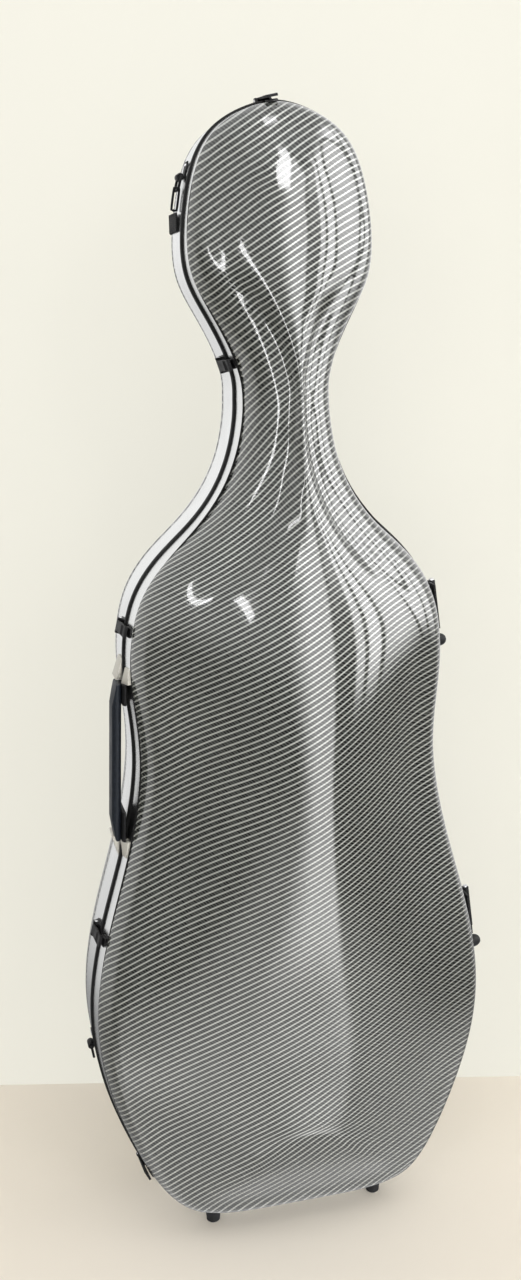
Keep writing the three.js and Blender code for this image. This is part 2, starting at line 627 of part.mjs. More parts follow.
// The handle: a grip over two blocks, with a cast ramp beyond each block
function addHandle() {
  const footDistance = chainDistance(HANDLE_FOOT_LEVEL);
  const topDistance = chainDistance(HANDLE_TOP_LEVEL);
  const foot = chainPoint(footDistance);
  const top = chainPoint(topDistance);
  const length = top.distanceTo(foot);
  const along = top.clone().sub(foot).normalize();
  const out = new THREE.Vector2(along.y, -along.x);
  const middle = foot.clone().lerp(top, 1 / 2);
  const group = new THREE.Group();
  group.position.set(LEFT * middle.x, SEAL_WIDTH / 2, middle.y);
  group.rotation.y = Math.atan2(-out.y, LEFT * out.x);
  part.add(group);

  // In this group Z runs down the case
  const half = length / 2;
  const seatHeight = (low, high) => {
    let height = -Infinity;
    for (let share = 0; share <= 1; share += 1 / 8) {
      const place = THREE.MathUtils.lerp(low, high, share);
      const probe = middle.clone().addScaledVector(along, -place);
      const wall = chainPoint(chainDistance(probe.y));
      height = Math.max(height, wall.sub(probe).dot(out));
    }
    return height + SEAT_GAP;
  };
  const blockSpan = { top: [-half, -half + HANDLE_TOP_BLOCK], foot: [half - HANDLE_FOOT_BLOCK, half] };
  for (const [name, span] of Object.entries(blockSpan)) {
    const low = Math.max(seatHeight(...span), SEAL_PROUD + SEAT_GAP);
    const points = [
      [low, -HANDLE_BLOCK_FRONT], [HANDLE_STANDOFF * 2 / 3, -HANDLE_BLOCK_FRONT], [HANDLE_STANDOFF, -HANDLE_GRIP_WIDE / 2],
      [HANDLE_STANDOFF, HANDLE_GRIP_WIDE / 2], [HANDLE_STANDOFF * 2 / 3, HANDLE_BLOCK_BACK], [low, HANDLE_BLOCK_BACK],
    ];
    const shape = pulled(points, span[1] - span[0]).translate(0, 0, (span[0] + span[1]) / 2);
    add(group, `handle_block_${name}`, shape, RUBBER);
  }

  // The grip's side view, pulled across and bevelled along its outer edges
  const base = HANDLE_STANDOFF + SEAT_GAP;
  const face = base + HANDLE_GRIP_THICK;
  const profile = [
    [base, -half], [face - HANDLE_GRIP_TAPER_DROP, -half], [face, -half + HANDLE_GRIP_TAPER],
    [face, half - HANDLE_GRIP_TAPER], [face - HANDLE_GRIP_TAPER_DROP, half], [base, half],
  ];
  const side = pulled(profile, HANDLE_GRIP_WIDE).rotateX(Math.PI / 2);
  const edge = HANDLE_GRIP_WIDE / 2;
  const section = [
    [base - OVERRUN, -edge + HANDLE_GRIP_BEVEL - OVERRUN], [base, -edge + HANDLE_GRIP_BEVEL], [base + HANDLE_GRIP_BEVEL, -edge],
    [face - HANDLE_GRIP_BEVEL, -edge], [face, -edge + HANDLE_GRIP_BEVEL], [face, edge - HANDLE_GRIP_BEVEL],
    [face - HANDLE_GRIP_BEVEL, edge], [base + HANDLE_GRIP_BEVEL, edge], [base, edge - HANDLE_GRIP_BEVEL],
    [base - OVERRUN, edge - HANDLE_GRIP_BEVEL + OVERRUN],
  ];
  const bar = common(side, pulled(section, length + OVERRUN));
  add(group, 'handle_grip', bar, GRIP);

  for (const [name, end] of [['top', -1], ['foot', 1]]) {
    const near = end * (half + SEAT_GAP);
    const far = near + end * RAMP_LENGTH;
    const low = seatHeight(Math.min(near, far), Math.max(near, far));
    const points = [[low, near], [low + RAMP_HEIGHT, near], [low + RAMP_TIP, far], [low, far]];
    const width = RAMP_BACK - SEAL_WIDTH / 2;
    const ramp = pulled(points, width).rotateX(-Math.PI / 2);
    const placed = ramp.scale(1, 1, -1).translate(0, SEAL_WIDTH / 2 + SEAT_GAP + width / 2, 0);
    add(group, `handle_ramp_${name}`, outward(placed), CAST);
  }
}

// Feet stand on the floor, with their tops under the lowest point of the wall above them
function addFoot(name, side, half, inward) {
  const sides = 16;
  const heights = Array.from({ length: sides }, (_, turn) => {
    const angle = turn / sides * 2 * Math.PI;
    const place = chainPoint(FOOT_SPREAD + FOOT_RADIUS * Math.cos(angle));
    return place.y + half.slope * (inward + FOOT_RADIUS * Math.sin(angle));
  });
  const top = Math.min(...heights) - SEAT_GAP;
  const profile = [[0, 0], [FOOT_TOE_RADIUS, 0], [FOOT_RADIUS, top / 2], [FOOT_RADIUS, top], [0, top]];
  const foot = new THREE.LatheGeometry(profile.map(([x, y]) => new THREE.Vector2(x, y)), sides).rotateX(Math.PI / 2);
  foot.translate(side * FOOT_SPREAD, half.facing * inward, 0);
  add(part, name, outward(foot), RUBBER);
}

function addBumper(name, level) {
  const seat = seatGroup(chainDistance(level), 2 * BUMPER_RADIUS, RIGHT);
  const profile = [new THREE.Vector2(0, 0), new THREE.Vector2(BUMPER_RADIUS, 0)];
  const steps = 4;
  for (let step = 0; step <= steps; step += 1) {
    const angle = step / steps * Math.PI / 2;
    const radius = step === steps ? 0 : BUMPER_RADIUS * Math.cos(angle);
    profile.push(new THREE.Vector2(radius, BUMPER_BASE + BUMPER_RADIUS * Math.sin(angle)));
  }
  const middle = LID_BAND / 2;
  const low = SEAT_GAP - LID.slope * (middle - BUMPER_RADIUS);
  const dome = new THREE.LatheGeometry(profile, 14).rotateZ(-Math.PI / 2).translate(low, -middle, 0);
  add(seat, `side_bumper_${name}`, outward(dome), RUBBER);
}

// A closed wire loop with rounded corners, lying in the XY plane
function wireLoop(wide, high, wire, bend) {
  const [x, y] = [wide / 2 - wire - bend, high / 2 - wire - bend];
  const corners = [[x, y], [-x, y], [-x, -y], [x, -y]];
  const steps = 2;
  const sides = 6;
  const rings = Array.from({ length: sides }, (_, turn) => {
    const angle = turn / sides * 2 * Math.PI;
    const reach = bend + wire * Math.cos(angle);
    return corners.flatMap(([cx, cy], quarter) => Array.from({ length: steps + 1 }, (__, step) => {
      const bearing = (quarter + step / steps) * Math.PI / 2;
      return new THREE.Vector3(cx + reach * Math.cos(bearing), cy + reach * Math.sin(bearing), wire * Math.sin(angle));
    }));
  });
  return bodyFromRings(rings);
}

// A bracket on the back rim with a knuckle at its lower end, and the ring whose bar lies in it
function addStrapRing(name, level, side) {
  const seat = seatGroup(chainDistance(level), BRACKET_HIGH, side);
  seat.position.y = RING_IN;
  const down = -side;
  const wide = BRACKET_WIDE / 2;
  const plate = block([SEAT_GAP, BRACKET_WALL], [-wide, wide], [-BRACKET_HIGH / 2, BRACKET_HIGH / 2]);
  const axisDown = down * BRACKET_HIGH / 2;
  const across = (geometry) => geometry.rotateX(Math.PI / 2).translate(RING_AXIS_OUT, 0, axisDown);
  const knuckle = across(roundBar(BRACKET_KNUCKLE_RADIUS, BRACKET_WIDE));
  const bore = across(roundBar(RING_WIRE + BORE_CLEARANCE, BRACKET_WIDE + OVERRUN));
  add(seat, `strap_bracket_${name}`, cut(union(plate, knuckle), bore), BLACK_METAL);

  const drop = RING_HIGH - 2 * RING_WIRE;
  const loop = wireLoop(RING_HIGH, RING_WIDE, RING_WIRE, RING_BEND).rotateY(-Math.PI / 2);
  const ring = add(seat, `strap_ring_${name}`, loop.translate(0, 0, down * drop / 2), BLACK_METAL);
  ring.position.set(RING_AXIS_OUT, 0, axisDown);
  return new THREE.Vector3(RING_AXIS_OUT, 0, axisDown + down * drop).applyEuler(seat.rotation).add(seat.position);
}

// A snap hook that hangs from a ring's lower bar, turned to follow the wall beside it
function addHook(name, bar, side) {
  const level = bar.z - HOOK_HIGH / 2;
  const hook = seatGroup(chainDistance(level), HOOK_HIGH, side);
  hook.position.copy(bar);
  const bend = HOOK_WIDE / 2 - HOOK_WIRE;
  const loop = wireLoop(HOOK_WIDE, HOOK_HIGH, HOOK_WIRE, bend).rotateX(Math.PI / 2);
  const drop = HOOK_HIGH / 2 - 2 * HOOK_WIRE - RING_WIRE - BORE_CLEARANCE;
  add(hook, `snap_hook_${name}`, loop.translate(0, 0, -side * drop), BLACK_METAL);
}

// A place on the back's skin at a level, between the two samples beside it
function backPoint(place, level, offset) {
  const index = SAMPLES.findIndex((sample) => sample.z > level);
  const ring = ringOf(BACK, place, -offset, -offset);
  const [low, high] = [SAMPLES[index - 1], SAMPLES[index]];
  return ring[index - 1].clone().lerp(ring[index], (level - low.z) / (high.z - low.z));
}

// A webbing strap that runs from one hook round the back of the head to the other, clear of the
// shell at both of its edges
function addHeadStrap() {
  const places = [{ depth: RING_IN - STRAP_END }, ...OUTER_PLACES];
  const edges = [STRAP_LEVEL - STRAP_WIDE / 2, STRAP_LEVEL + STRAP_WIDE / 2];
  const path = (offset) => {
    const right = places.map((place) => {
      const [low, high] = edges.map((level) => backPoint(place, level, offset));
      return [Math.max(low.x, high.x), Math.max(low.y, high.y)];
    });
    const left = right.slice(0, -1).reverse().map(([x, y]) => [-x, y]);
    return [...right, ...left];
  };
  const outline = [...path(STRAP_GAP), ...path(STRAP_GAP + STRAP_WALL).reverse()];
  add(part, 'head_strap', outward(pulled(outline, STRAP_WIDE).translate(0, 0, STRAP_LEVEL)), WEBBING);
}

// What holds the instrument: pads cut to the hollow of the back
function addPads() {
  const inside = hollow(BACK);
  const deep = BACK_CREST.waist;
  const groove = block([-CRADLE_GROOVE_HALF, CRADLE_GROOVE_HALF], [CRADLE_FRONT - OVERRUN, CRADLE_FRONT + CRADLE_GROOVE_DEEP],
    [CRADLE_LEVEL - CRADLE_HIGH, CRADLE_LEVEL + CRADLE_HIGH]);
  const cradle = block([-UPPER_BOUT_HALF, UPPER_BOUT_HALF], [CRADLE_FRONT, deep],
    [CRADLE_LEVEL - CRADLE_HIGH / 2, CRADLE_LEVEL + CRADLE_HIGH / 2]);
  add(part, 'neck_cradle', common(cut(cradle, groove), inside), FOAM);

  for (const [bout, level] of Object.entries(BOUT_PAD_LEVELS)) {
    const half = bout === 'upper' ? UPPER_BOUT_HALF : LOWER_BOUT_HALF;
    const inner = half - TONGUE_IN - LINING_WALL - BOUT_PAD_THICK;
    for (const [hand, side] of [['left', LEFT], ['right', RIGHT]]) {
      const span = side < 0 ? [-half, -inner] : [inner, half];
      const pad = block(span, [BOUT_PAD_FRONT, deep], [level - BOUT_PAD_HIGH / 2, level + BOUT_PAD_HIGH / 2]);
      add(part, `${bout}_bout_pad_${hand}`, common(pad, inside), FOAM);
    }
  }

  const blockTop = SHELL_BOTTOM + TONGUE_IN + LINING_WALL + FOOT_BLOCK_HIGH;
  const foot = block([-FOOT_BLOCK_HALF, FOOT_BLOCK_HALF], [FOOT_BLOCK_FRONT, deep], [SHELL_BOTTOM, blockTop]);
  const slot = block([-ENDPIN_SLOT_HALF, ENDPIN_SLOT_HALF], [FOOT_BLOCK_FRONT - OVERRUN, FOOT_BLOCK_FRONT + ENDPIN_SLOT_DEEP],
    [SHELL_BOTTOM, blockTop + OVERRUN]);
  add(part, 'endpin_block', common(cut(foot, slot), inside), FOAM);
}

// Bow fittings in the lid: a holder for the two tips, and a turning tab over each frog
function addBowFittings() {
  const inside = hollow(LID);
  const deep = LID_CREST.waist;
  const tips = block([-BOW_SPREAD, BOW_SPREAD], [-deep, -BOW_TIP_FRONT], [BOW_TIP_LEVEL, BOW_TIP_LEVEL + BOW_TIP_HIGH]);
  add(part, 'bow_tip_holder', common(tips, inside), FOAM);
  const z = [BOW_CLIP_LEVEL - BOW_CLIP_HALF, BOW_CLIP_LEVEL + BOW_CLIP_HALF];
  const reach = BOW_SPREAD + BOW_CLIP_HALF;
  const bar = common(block([-reach, reach], [-deep, -BOW_CLIP_FRONT], z), inside);
  const posts = [LEFT, RIGHT].map((side) => {
    const post = roundBar(BOW_POST_RADIUS, BOW_TAB_WALL + 2 * RUNNING_GAP + SEAT_GAP).rotateX(Math.PI / 2);
    return post.translate(side * BOW_SPREAD, -BOW_CLIP_FRONT + BOW_TAB_WALL / 2 + RUNNING_GAP, BOW_CLIP_LEVEL);
  });
  add(part, 'bow_clip_bar', union(bar, ...posts), FOAM);
  const end = BOW_TAB_WIDE / 2;
  const outline = [
    [-end, -end], [-end / 2, -end - end / 2], [end / 2, -end - end / 2], [end, -end],
    [end, BOW_TAB_LONG - 2 * end], [end / 2, BOW_TAB_LONG - end], [-end / 2, BOW_TAB_LONG - end], [-end, BOW_TAB_LONG - 2 * end],
  ];
  const bore = { x: 0, y: 0, radius: BOW_POST_RADIUS + BORE_CLEARANCE };
  for (const [hand, side] of [['left', LEFT], ['right', RIGHT]]) {
    const tab = add(part, `bow_tab_${hand}`, pulled(outline, BOW_TAB_WALL, [bore]).rotateX(Math.PI / 2), BLACK_METAL);
    tab.position.set(side * BOW_SPREAD, -BOW_CLIP_FRONT + RUNNING_GAP + BOW_TAB_WALL / 2, BOW_CLIP_LEVEL);
  }
}

addShell('back_shell', BACK);
addShell('lid_shell', LID);
addRim('back_rim', BACK);
addRim('lid_rim', LID);
addSeal();
addLining('back_lining', BACK);
addLining('lid_lining', LID);
for (const [name, level] of Object.entries(LATCH_LEVELS)) addLatch(name, chainDistance(level));
addLatch('crown', CHAIN_TOTAL - CROWN_LATCH_OFFSET);
for (const [name, level] of Object.entries(HINGE_LEVELS)) addHinge(name, level);
addHandle();
for (const [hand, side] of [['left', LEFT], ['right', RIGHT]]) {
  addFoot(`lid_foot_${hand}`, side, LID, LID_FOOT_IN);
  addFoot(`back_foot_${hand}`, side, BACK, BACK_FOOT_IN);
  addHook(hand, addStrapRing(`upper_${hand}`, UPPER_RING_LEVEL, side), side);
  addStrapRing(`lower_${hand}`, LOWER_RING_LEVEL, side);
}
for (const [name, level] of Object.entries(BUMPER_LEVELS)) addBumper(name, level);
addHeadStrap();
addPads();
addBowFittings();

// The origin is on the floor, under the middle of the case's overall box
const bounds = new THREE.Box3().setFromObject(part);
part.position.set(-(bounds.min.x + bounds.max.x) / 2, -(bounds.min.y + bounds.max.y) / 2, -bounds.min.z);
part.updateMatrixWorld(true);

export default part;
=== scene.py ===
"""A cello hard case: glossy woven shells in aluminium rims, latches, handle and padded inside.

Every length is in metres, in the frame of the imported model: X to the viewer's right, Y away from
the viewer, Z up from the floor. Sizes of new pieces are fields of the class that makes them, and
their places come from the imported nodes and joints.
"""

from __future__ import annotations

import json
import logging
import math
from dataclasses import dataclass, field
from enum import Enum
from typing import Callable, Iterable, Sequence

import bmesh
import bpy
from bmesh.types import BMesh, BMEdge, BMVert
from mathutils import Matrix, Vector
from mathutils.bvhtree import BVHTree

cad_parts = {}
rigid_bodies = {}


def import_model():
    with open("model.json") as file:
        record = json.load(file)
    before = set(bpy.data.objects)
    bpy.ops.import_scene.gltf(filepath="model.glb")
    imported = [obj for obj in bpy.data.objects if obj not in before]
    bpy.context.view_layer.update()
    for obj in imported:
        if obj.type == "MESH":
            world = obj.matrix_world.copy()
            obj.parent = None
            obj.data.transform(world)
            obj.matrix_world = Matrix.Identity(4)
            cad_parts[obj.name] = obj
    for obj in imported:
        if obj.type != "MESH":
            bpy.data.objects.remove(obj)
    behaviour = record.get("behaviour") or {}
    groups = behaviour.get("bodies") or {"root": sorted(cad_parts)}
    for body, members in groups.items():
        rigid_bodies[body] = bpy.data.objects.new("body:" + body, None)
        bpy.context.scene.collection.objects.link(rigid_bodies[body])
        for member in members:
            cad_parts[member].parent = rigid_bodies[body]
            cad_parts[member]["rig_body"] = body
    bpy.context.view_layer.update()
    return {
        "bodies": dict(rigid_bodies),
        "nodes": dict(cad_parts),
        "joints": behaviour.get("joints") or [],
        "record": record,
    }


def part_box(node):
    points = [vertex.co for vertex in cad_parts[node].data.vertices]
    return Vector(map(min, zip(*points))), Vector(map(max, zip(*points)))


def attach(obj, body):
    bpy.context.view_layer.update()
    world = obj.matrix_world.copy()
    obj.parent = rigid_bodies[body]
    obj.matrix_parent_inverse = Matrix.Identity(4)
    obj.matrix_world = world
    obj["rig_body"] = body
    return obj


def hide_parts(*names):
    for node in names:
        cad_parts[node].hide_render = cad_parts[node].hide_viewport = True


LOG = logging.getLogger("cello_case")
MERGE = 2e-5
LEAST_LENGTH = 1e-9
FLAT_ANGLE = math.radians(1)
CORNER_ANGLE = math.radians(30)
SHARP_ANGLE = math.radians(38)
EDGE_ANGLE = math.radians(50)

Value = float | tuple | bpy.types.NodeSocket


class Slot(Enum):
    """The finishes of the case, named as the record's material slots."""

    CARBON = "carbon"
    RIM = "rim"
    CAST = "cast"
    SEAL = "seal"
    RUBBER = "rubber"
    BLACK_METAL = "black_metal"
    STEEL = "steel"
    GRIP = "grip"
    BLACK_PLASTIC = "black_plastic"
    PLUSH = "plush"
    WEBBING = "webbing"


class Graph:
    """A node tree with short calls that add nodes and join their sockets."""

    def __init__(self, tree: bpy.types.NodeTree) -> None:
        """Keeps the tree that the calls add to."""
        self.tree = tree

    def put(self, socket: bpy.types.NodeSocket, value: Value) -> None:
        """Feeds a socket from another socket, or sets its own value.

        Args:
            socket: The input that takes the value.
            value: A socket to link, a number, or a colour or vector of three numbers.
        """
        if isinstance(value, bpy.types.NodeSocket):
            self.tree.links.new(value, socket)
        elif isinstance(value, tuple) and socket.type == "RGBA":
            socket.default_value = (*value, 1)
        else:
            socket.default_value = value

    def add(
        self, kind: str, inputs: dict[str | int, Value] | None = None, **settings: object
    ) -> bpy.types.Node:
        """Adds a node.

        Args:
            kind: The node's type, without its ShaderNode prefix.
            inputs: Values or sockets for its inputs, by name or place.
            settings: The node's own options.

        Returns:
            The new node.
        """
        node = self.tree.nodes.new("ShaderNode" + kind)
        for name, value in settings.items():
            setattr(node, name, value)
        for name, value in (inputs or {}).items():
            self.put(node.inputs[name], value)
        return node

    def math(self, operation: str, *values: Value, clamp: bool = False) -> bpy.types.NodeSocket:
        """Returns the output of a Math node over the values."""
        inputs = dict(enumerate(values))
        return self.add("Math", inputs, operation=operation, use_clamp=clamp).outputs[0]

    def plus(self, first: Value, second: Value) -> bpy.types.NodeSocket:
        """Returns the sum of two values."""
        return self.math("ADD", first, second)

    def minus(self, first: Value, second: Value) -> bpy.types.NodeSocket:
        """Returns the first value less the second."""
        return self.math("SUBTRACT", first, second)

    def times(self, first: Value, second: Value) -> bpy.types.NodeSocket:
        """Returns the product of two values."""
        return self.math("MULTIPLY", first, second)

    def mix(self, share: Value, low: Value, high: Value) -> bpy.types.NodeSocket:
        """Returns a colour that runs from low to high as share goes from 0 to 1."""
        node = self.add("Mix", {0: share, 6: low, 7: high}, data_type="RGBA")
        return node.outputs[2]

    def band(self, value: Value, low: float, high: float) -> bpy.types.NodeSocket:
        """Returns a smooth step from 0 at low to 1 at high."""
        inputs = {"Value": value, "From Min": low, "From Max": high}
        return self.add("MapRange", inputs, interpolation_type="SMOOTHSTEP").outputs[0]

    def noise(self, vector: Value, scale: Value, detail: float = 2.0) -> bpy.types.NodeSocket:
        """Returns a noise value over the vector."""
        inputs = {"Vector": vector, "Scale": scale, "Detail": detail}
        return self.add("TexNoise", inputs).outputs[0]

    def coordinates(self, scale: tuple = (1, 1, 1)) -> bpy.types.NodeSocket:
        """Returns the piece's own coordinates, scaled."""
        source = self.add("TexCoord").outputs["Object"]
        return self.add("Mapping", {"Vector": source, "Scale": scale}).outputs[0]

    def use(self, group: bpy.types.NodeTree, inputs: dict[str, Value]) -> bpy.types.Node:
        """Places a node group with its own values.

        Args:
            group: The shared group.
            inputs: Values or sockets for its inputs, by name.

        Returns:
            The node that holds the group.
        """
        node = self.tree.nodes.new("ShaderNodeGroup")
        node.node_tree = group
        for name, value in inputs.items():
            self.put(node.inputs[name], value)
        return node


def open_group(
    name: str, inputs: dict[str, tuple[str, object]], outputs: dict[str, str]
) -> tuple[Graph, bpy.types.NodeOutputs, bpy.types.NodeInputs]:
    """Starts a shader node group with named sockets.

    Args:
        name: The group's name.
        inputs: Each input's socket type and first value.
        outputs: Each output's socket type.

    Returns:
        The graph to build in, the sockets that hold the inputs, and those that take the outputs.
    """
    tree = bpy.data.node_groups.new(name, "ShaderNodeTree")
    for socket, (kind, value) in inputs.items():
        made = tree.interface.new_socket(name=socket, in_out="INPUT", socket_type="NodeSocket" + kind)
        if value is not None:
            made.default_value = value
    for socket, kind in outputs.items():
        tree.interface.new_socket(name=socket, in_out="OUTPUT", socket_type="NodeSocket" + kind)
    start = tree.nodes.new("NodeGroupInput")
    end = tree.nodes.new("NodeGroupOutput")
    return Graph(tree), start.outputs, end.inputs


class Effects:
    """The shader node groups that the finishes share, each built once.

    A reach is where a soft step starts and where it ends.
    """

    line_reach: tuple = (0.09, 0.19)
    row_reach: tuple = (0.13, 0.22)
    dash_reach: tuple = (0.24, 0.36)
    dash_slant: float = 0.6
    dash_depth: float = 0.55
    pile_light: float = 0.84
    pile_swing: float = 0.16
    gap_height: float = -0.7
    line_height: float = 0.5
    rub_reach: tuple = (0.42, 0.66)
    up_reach: tuple = (0.1, 0.95)
    film_reach: tuple = (0.35, 0.75)
    tone_reach: tuple = (0.3, 0.7)
    thread_pitch: float = 0.35
    thread_height: float = 0.5

    def __init__(self) -> None:
        """Builds every group."""
        self.twill = self.build_twill()
        self.wear = self.build_wear()
        self.dust = self.build_dust()
        self.grain = self.build_grain()
        self.ribs = self.build_ribs()

    def build_twill(self) -> bpy.types.NodeTree:
        """Builds woven cloth: thin light lines with rows of dark dashes between them."""
        inputs = {
            "Vector": ("Vector", None),
            "Pitch": ("Float", 0.006),
            "Step": ("Float", 0.0035),
            "Line": ("Color", (0.5, 0.5, 0.5, 1)),
            "Band": ("Color", (0.1, 0.1, 0.1, 1)),
            "Gap": ("Color", (0.01, 0.01, 0.01, 1)),
        }
        outputs = {"Color": "Color", "Height": "Float", "Mask": "Float"}
        graph, given, result = open_group("twill_cloth", inputs, outputs)
        axes = graph.add("SeparateXYZ", {0: given["Vector"]}).outputs
        across = graph.math("DIVIDE", axes[1], given["Pitch"])
        along = graph.math("DIVIDE", axes[0], given["Step"])
        from_middle = graph.math("ABSOLUTE", graph.minus(graph.math("FRACT", across), 0.5))
        from_line = graph.minus(0.5, from_middle)
        line = graph.minus(1.0, graph.band(from_line, *self.line_reach))
        slant = graph.plus(along, graph.times(across, self.dash_slant))
        from_dash = graph.math("ABSOLUTE", graph.minus(graph.math("FRACT", slant), 0.5))
        dash = graph.minus(1.0, graph.band(from_dash, *self.dash_reach))
        row = graph.band(from_line, *self.row_reach)
        numbers = {0: graph.math("FLOOR", slant), 1: graph.math("FLOOR", across)}
        cell = graph.add("CombineXYZ", numbers).outputs[0]
        chance = graph.add("TexWhiteNoise", {"Vector": cell}, noise_dimensions="2D").outputs[0]
        depth = graph.plus(self.dash_depth, graph.times(chance, 1 - self.dash_depth))
        gap = graph.times(graph.times(dash, row), depth)
        wave = graph.math("COSINE", graph.times(slant, 2 * math.pi))
        pile = graph.plus(self.pile_light, graph.times(wave, self.pile_swing))
        lit = graph.times(line, pile)
        cloth = graph.mix(gap, given["Band"], given["Gap"])
        low = graph.times(gap, self.gap_height)
        graph.put(result["Color"], graph.mix(lit, cloth, given["Line"]))
        graph.put(result["Height"], graph.plus(low, graph.times(line, self.line_height)))
        graph.put(result["Mask"], lit)
        return graph.tree

    def build_wear(self) -> bpy.types.NodeTree:
        """Builds the rubbed look of bevelled edges, broken up by noise."""
        inputs = {"Vector": ("Vector", None), "Scale": ("Float", 300.0), "Amount": ("Float", 0.5)}
        graph, given, result = open_group("edge_wear", inputs, {"Mask": "Float"})
        worn = graph.add("Attribute", attribute_name="worn").outputs["Fac"]
        patch = graph.noise(given["Vector"], given["Scale"], 3.0)
        rubbed = graph.times(worn, graph.band(patch, *self.rub_reach))
        graph.put(result["Mask"], graph.math("MULTIPLY", rubbed, given["Amount"], clamp=True))
        return graph.tree

    def build_dust(self) -> bpy.types.NodeTree:
        """Builds a thin film of dust that lies thickest on what faces up."""
        inputs = {"Vector": ("Vector", None), "Scale": ("Float", 40.0), "Amount": ("Float", 0.2)}
        graph, given, result = open_group("dust_film", inputs, {"Mask": "Float"})
        normal = graph.add("NewGeometry").outputs["Normal"]
        up = graph.band(graph.add("SeparateXYZ", {0: normal}).outputs[2], *self.up_reach)
        patch = graph.band(graph.noise(given["Vector"], given["Scale"], 4.0), *self.film_reach)
        graph.put(result["Mask"], graph.times(graph.times(up, patch), given["Amount"]))
        return graph.tree

    def build_grain(self) -> bpy.types.NodeTree:
        """Builds a fine moulded or cast grain, with a slow variation of tone."""
        inputs = {"Vector": ("Vector", None), "Fine": ("Float", 1500.0), "Broad": ("Float", 25.0)}
        graph, given, result = open_group("fine_grain", inputs, {"Height": "Float", "Tone": "Float"})
        graph.put(result["Height"], graph.noise(given["Vector"], given["Fine"], 2.0))
        tone = graph.noise(given["Vector"], given["Broad"], 3.0)
        graph.put(result["Tone"], graph.band(tone, *self.tone_reach))
        return graph.tree

    def build_ribs(self) -> bpy.types.NodeTree:
        """Builds the ribs of narrow webbing: cords across, threads along."""
        inputs = {"Vector": ("Vector", None), "Pitch": ("Float", 0.0016)}
        graph, given, result = open_group("webbing_ribs", inputs, {"Height": "Float"})
        axes = graph.add("SeparateXYZ", {0: given["Vector"]}).outputs
        cords = graph.math("SINE", graph.math("DIVIDE", axes[2], given["Pitch"]))
        sum_across = graph.plus(axes[0], axes[1])
        pitch = graph.times(given["Pitch"], self.thread_pitch)
        threads = graph.math("SINE", graph.math("DIVIDE", sum_across, pitch))
        graph.put(result["Height"], graph.plus(cords, graph.times(threads, self.thread_height)))
        return graph.tree


class Finish:
    """A material with the shaders that every finish of the case starts from."""

    def __init__(self, name: str) -> None:
        """Makes the material and its principled shader.

        Args:
            name: The material's name.
        """
        self.material = bpy.data.materials.new(name)
        self.material.use_nodes = True
        self.graph = Graph(self.material.node_tree)
        self.shader = self.material.node_tree.nodes["Principled BSDF"]

    def set(self, values: dict[str, Value]) -> None:
        """Sets or feeds the shader's sockets by name."""
        for name, value in values.items():
            self.graph.put(self.shader.inputs[name], value)

    def bump(self, height: Value, distance: float, strength: float, socket: str = "Normal") -> None:
        """Raises the surface by a height map, up to a distance in metres."""
        values = {"Height": height, "Distance": distance, "Strength": strength}
        self.set({socket: self.graph.add("Bump", values).outputs[0]})


@dataclass(frozen=True)
class Recipe:
    """How a finish is made. Each kind of finish fills in how it is painted."""

    def paint(self, finish: Finish, effects: Effects) -> None:
        """Paints the material."""
        raise NotImplementedError

    def build(self, name: str, effects: Effects) -> bpy.types.Material:
        """Builds the material.

        Args:
            name: The material's name.
            effects: The shared node groups.

        Returns:
            The finished material.
        """
        finish = Finish(name)
        self.paint(finish, effects)
        return finish.material


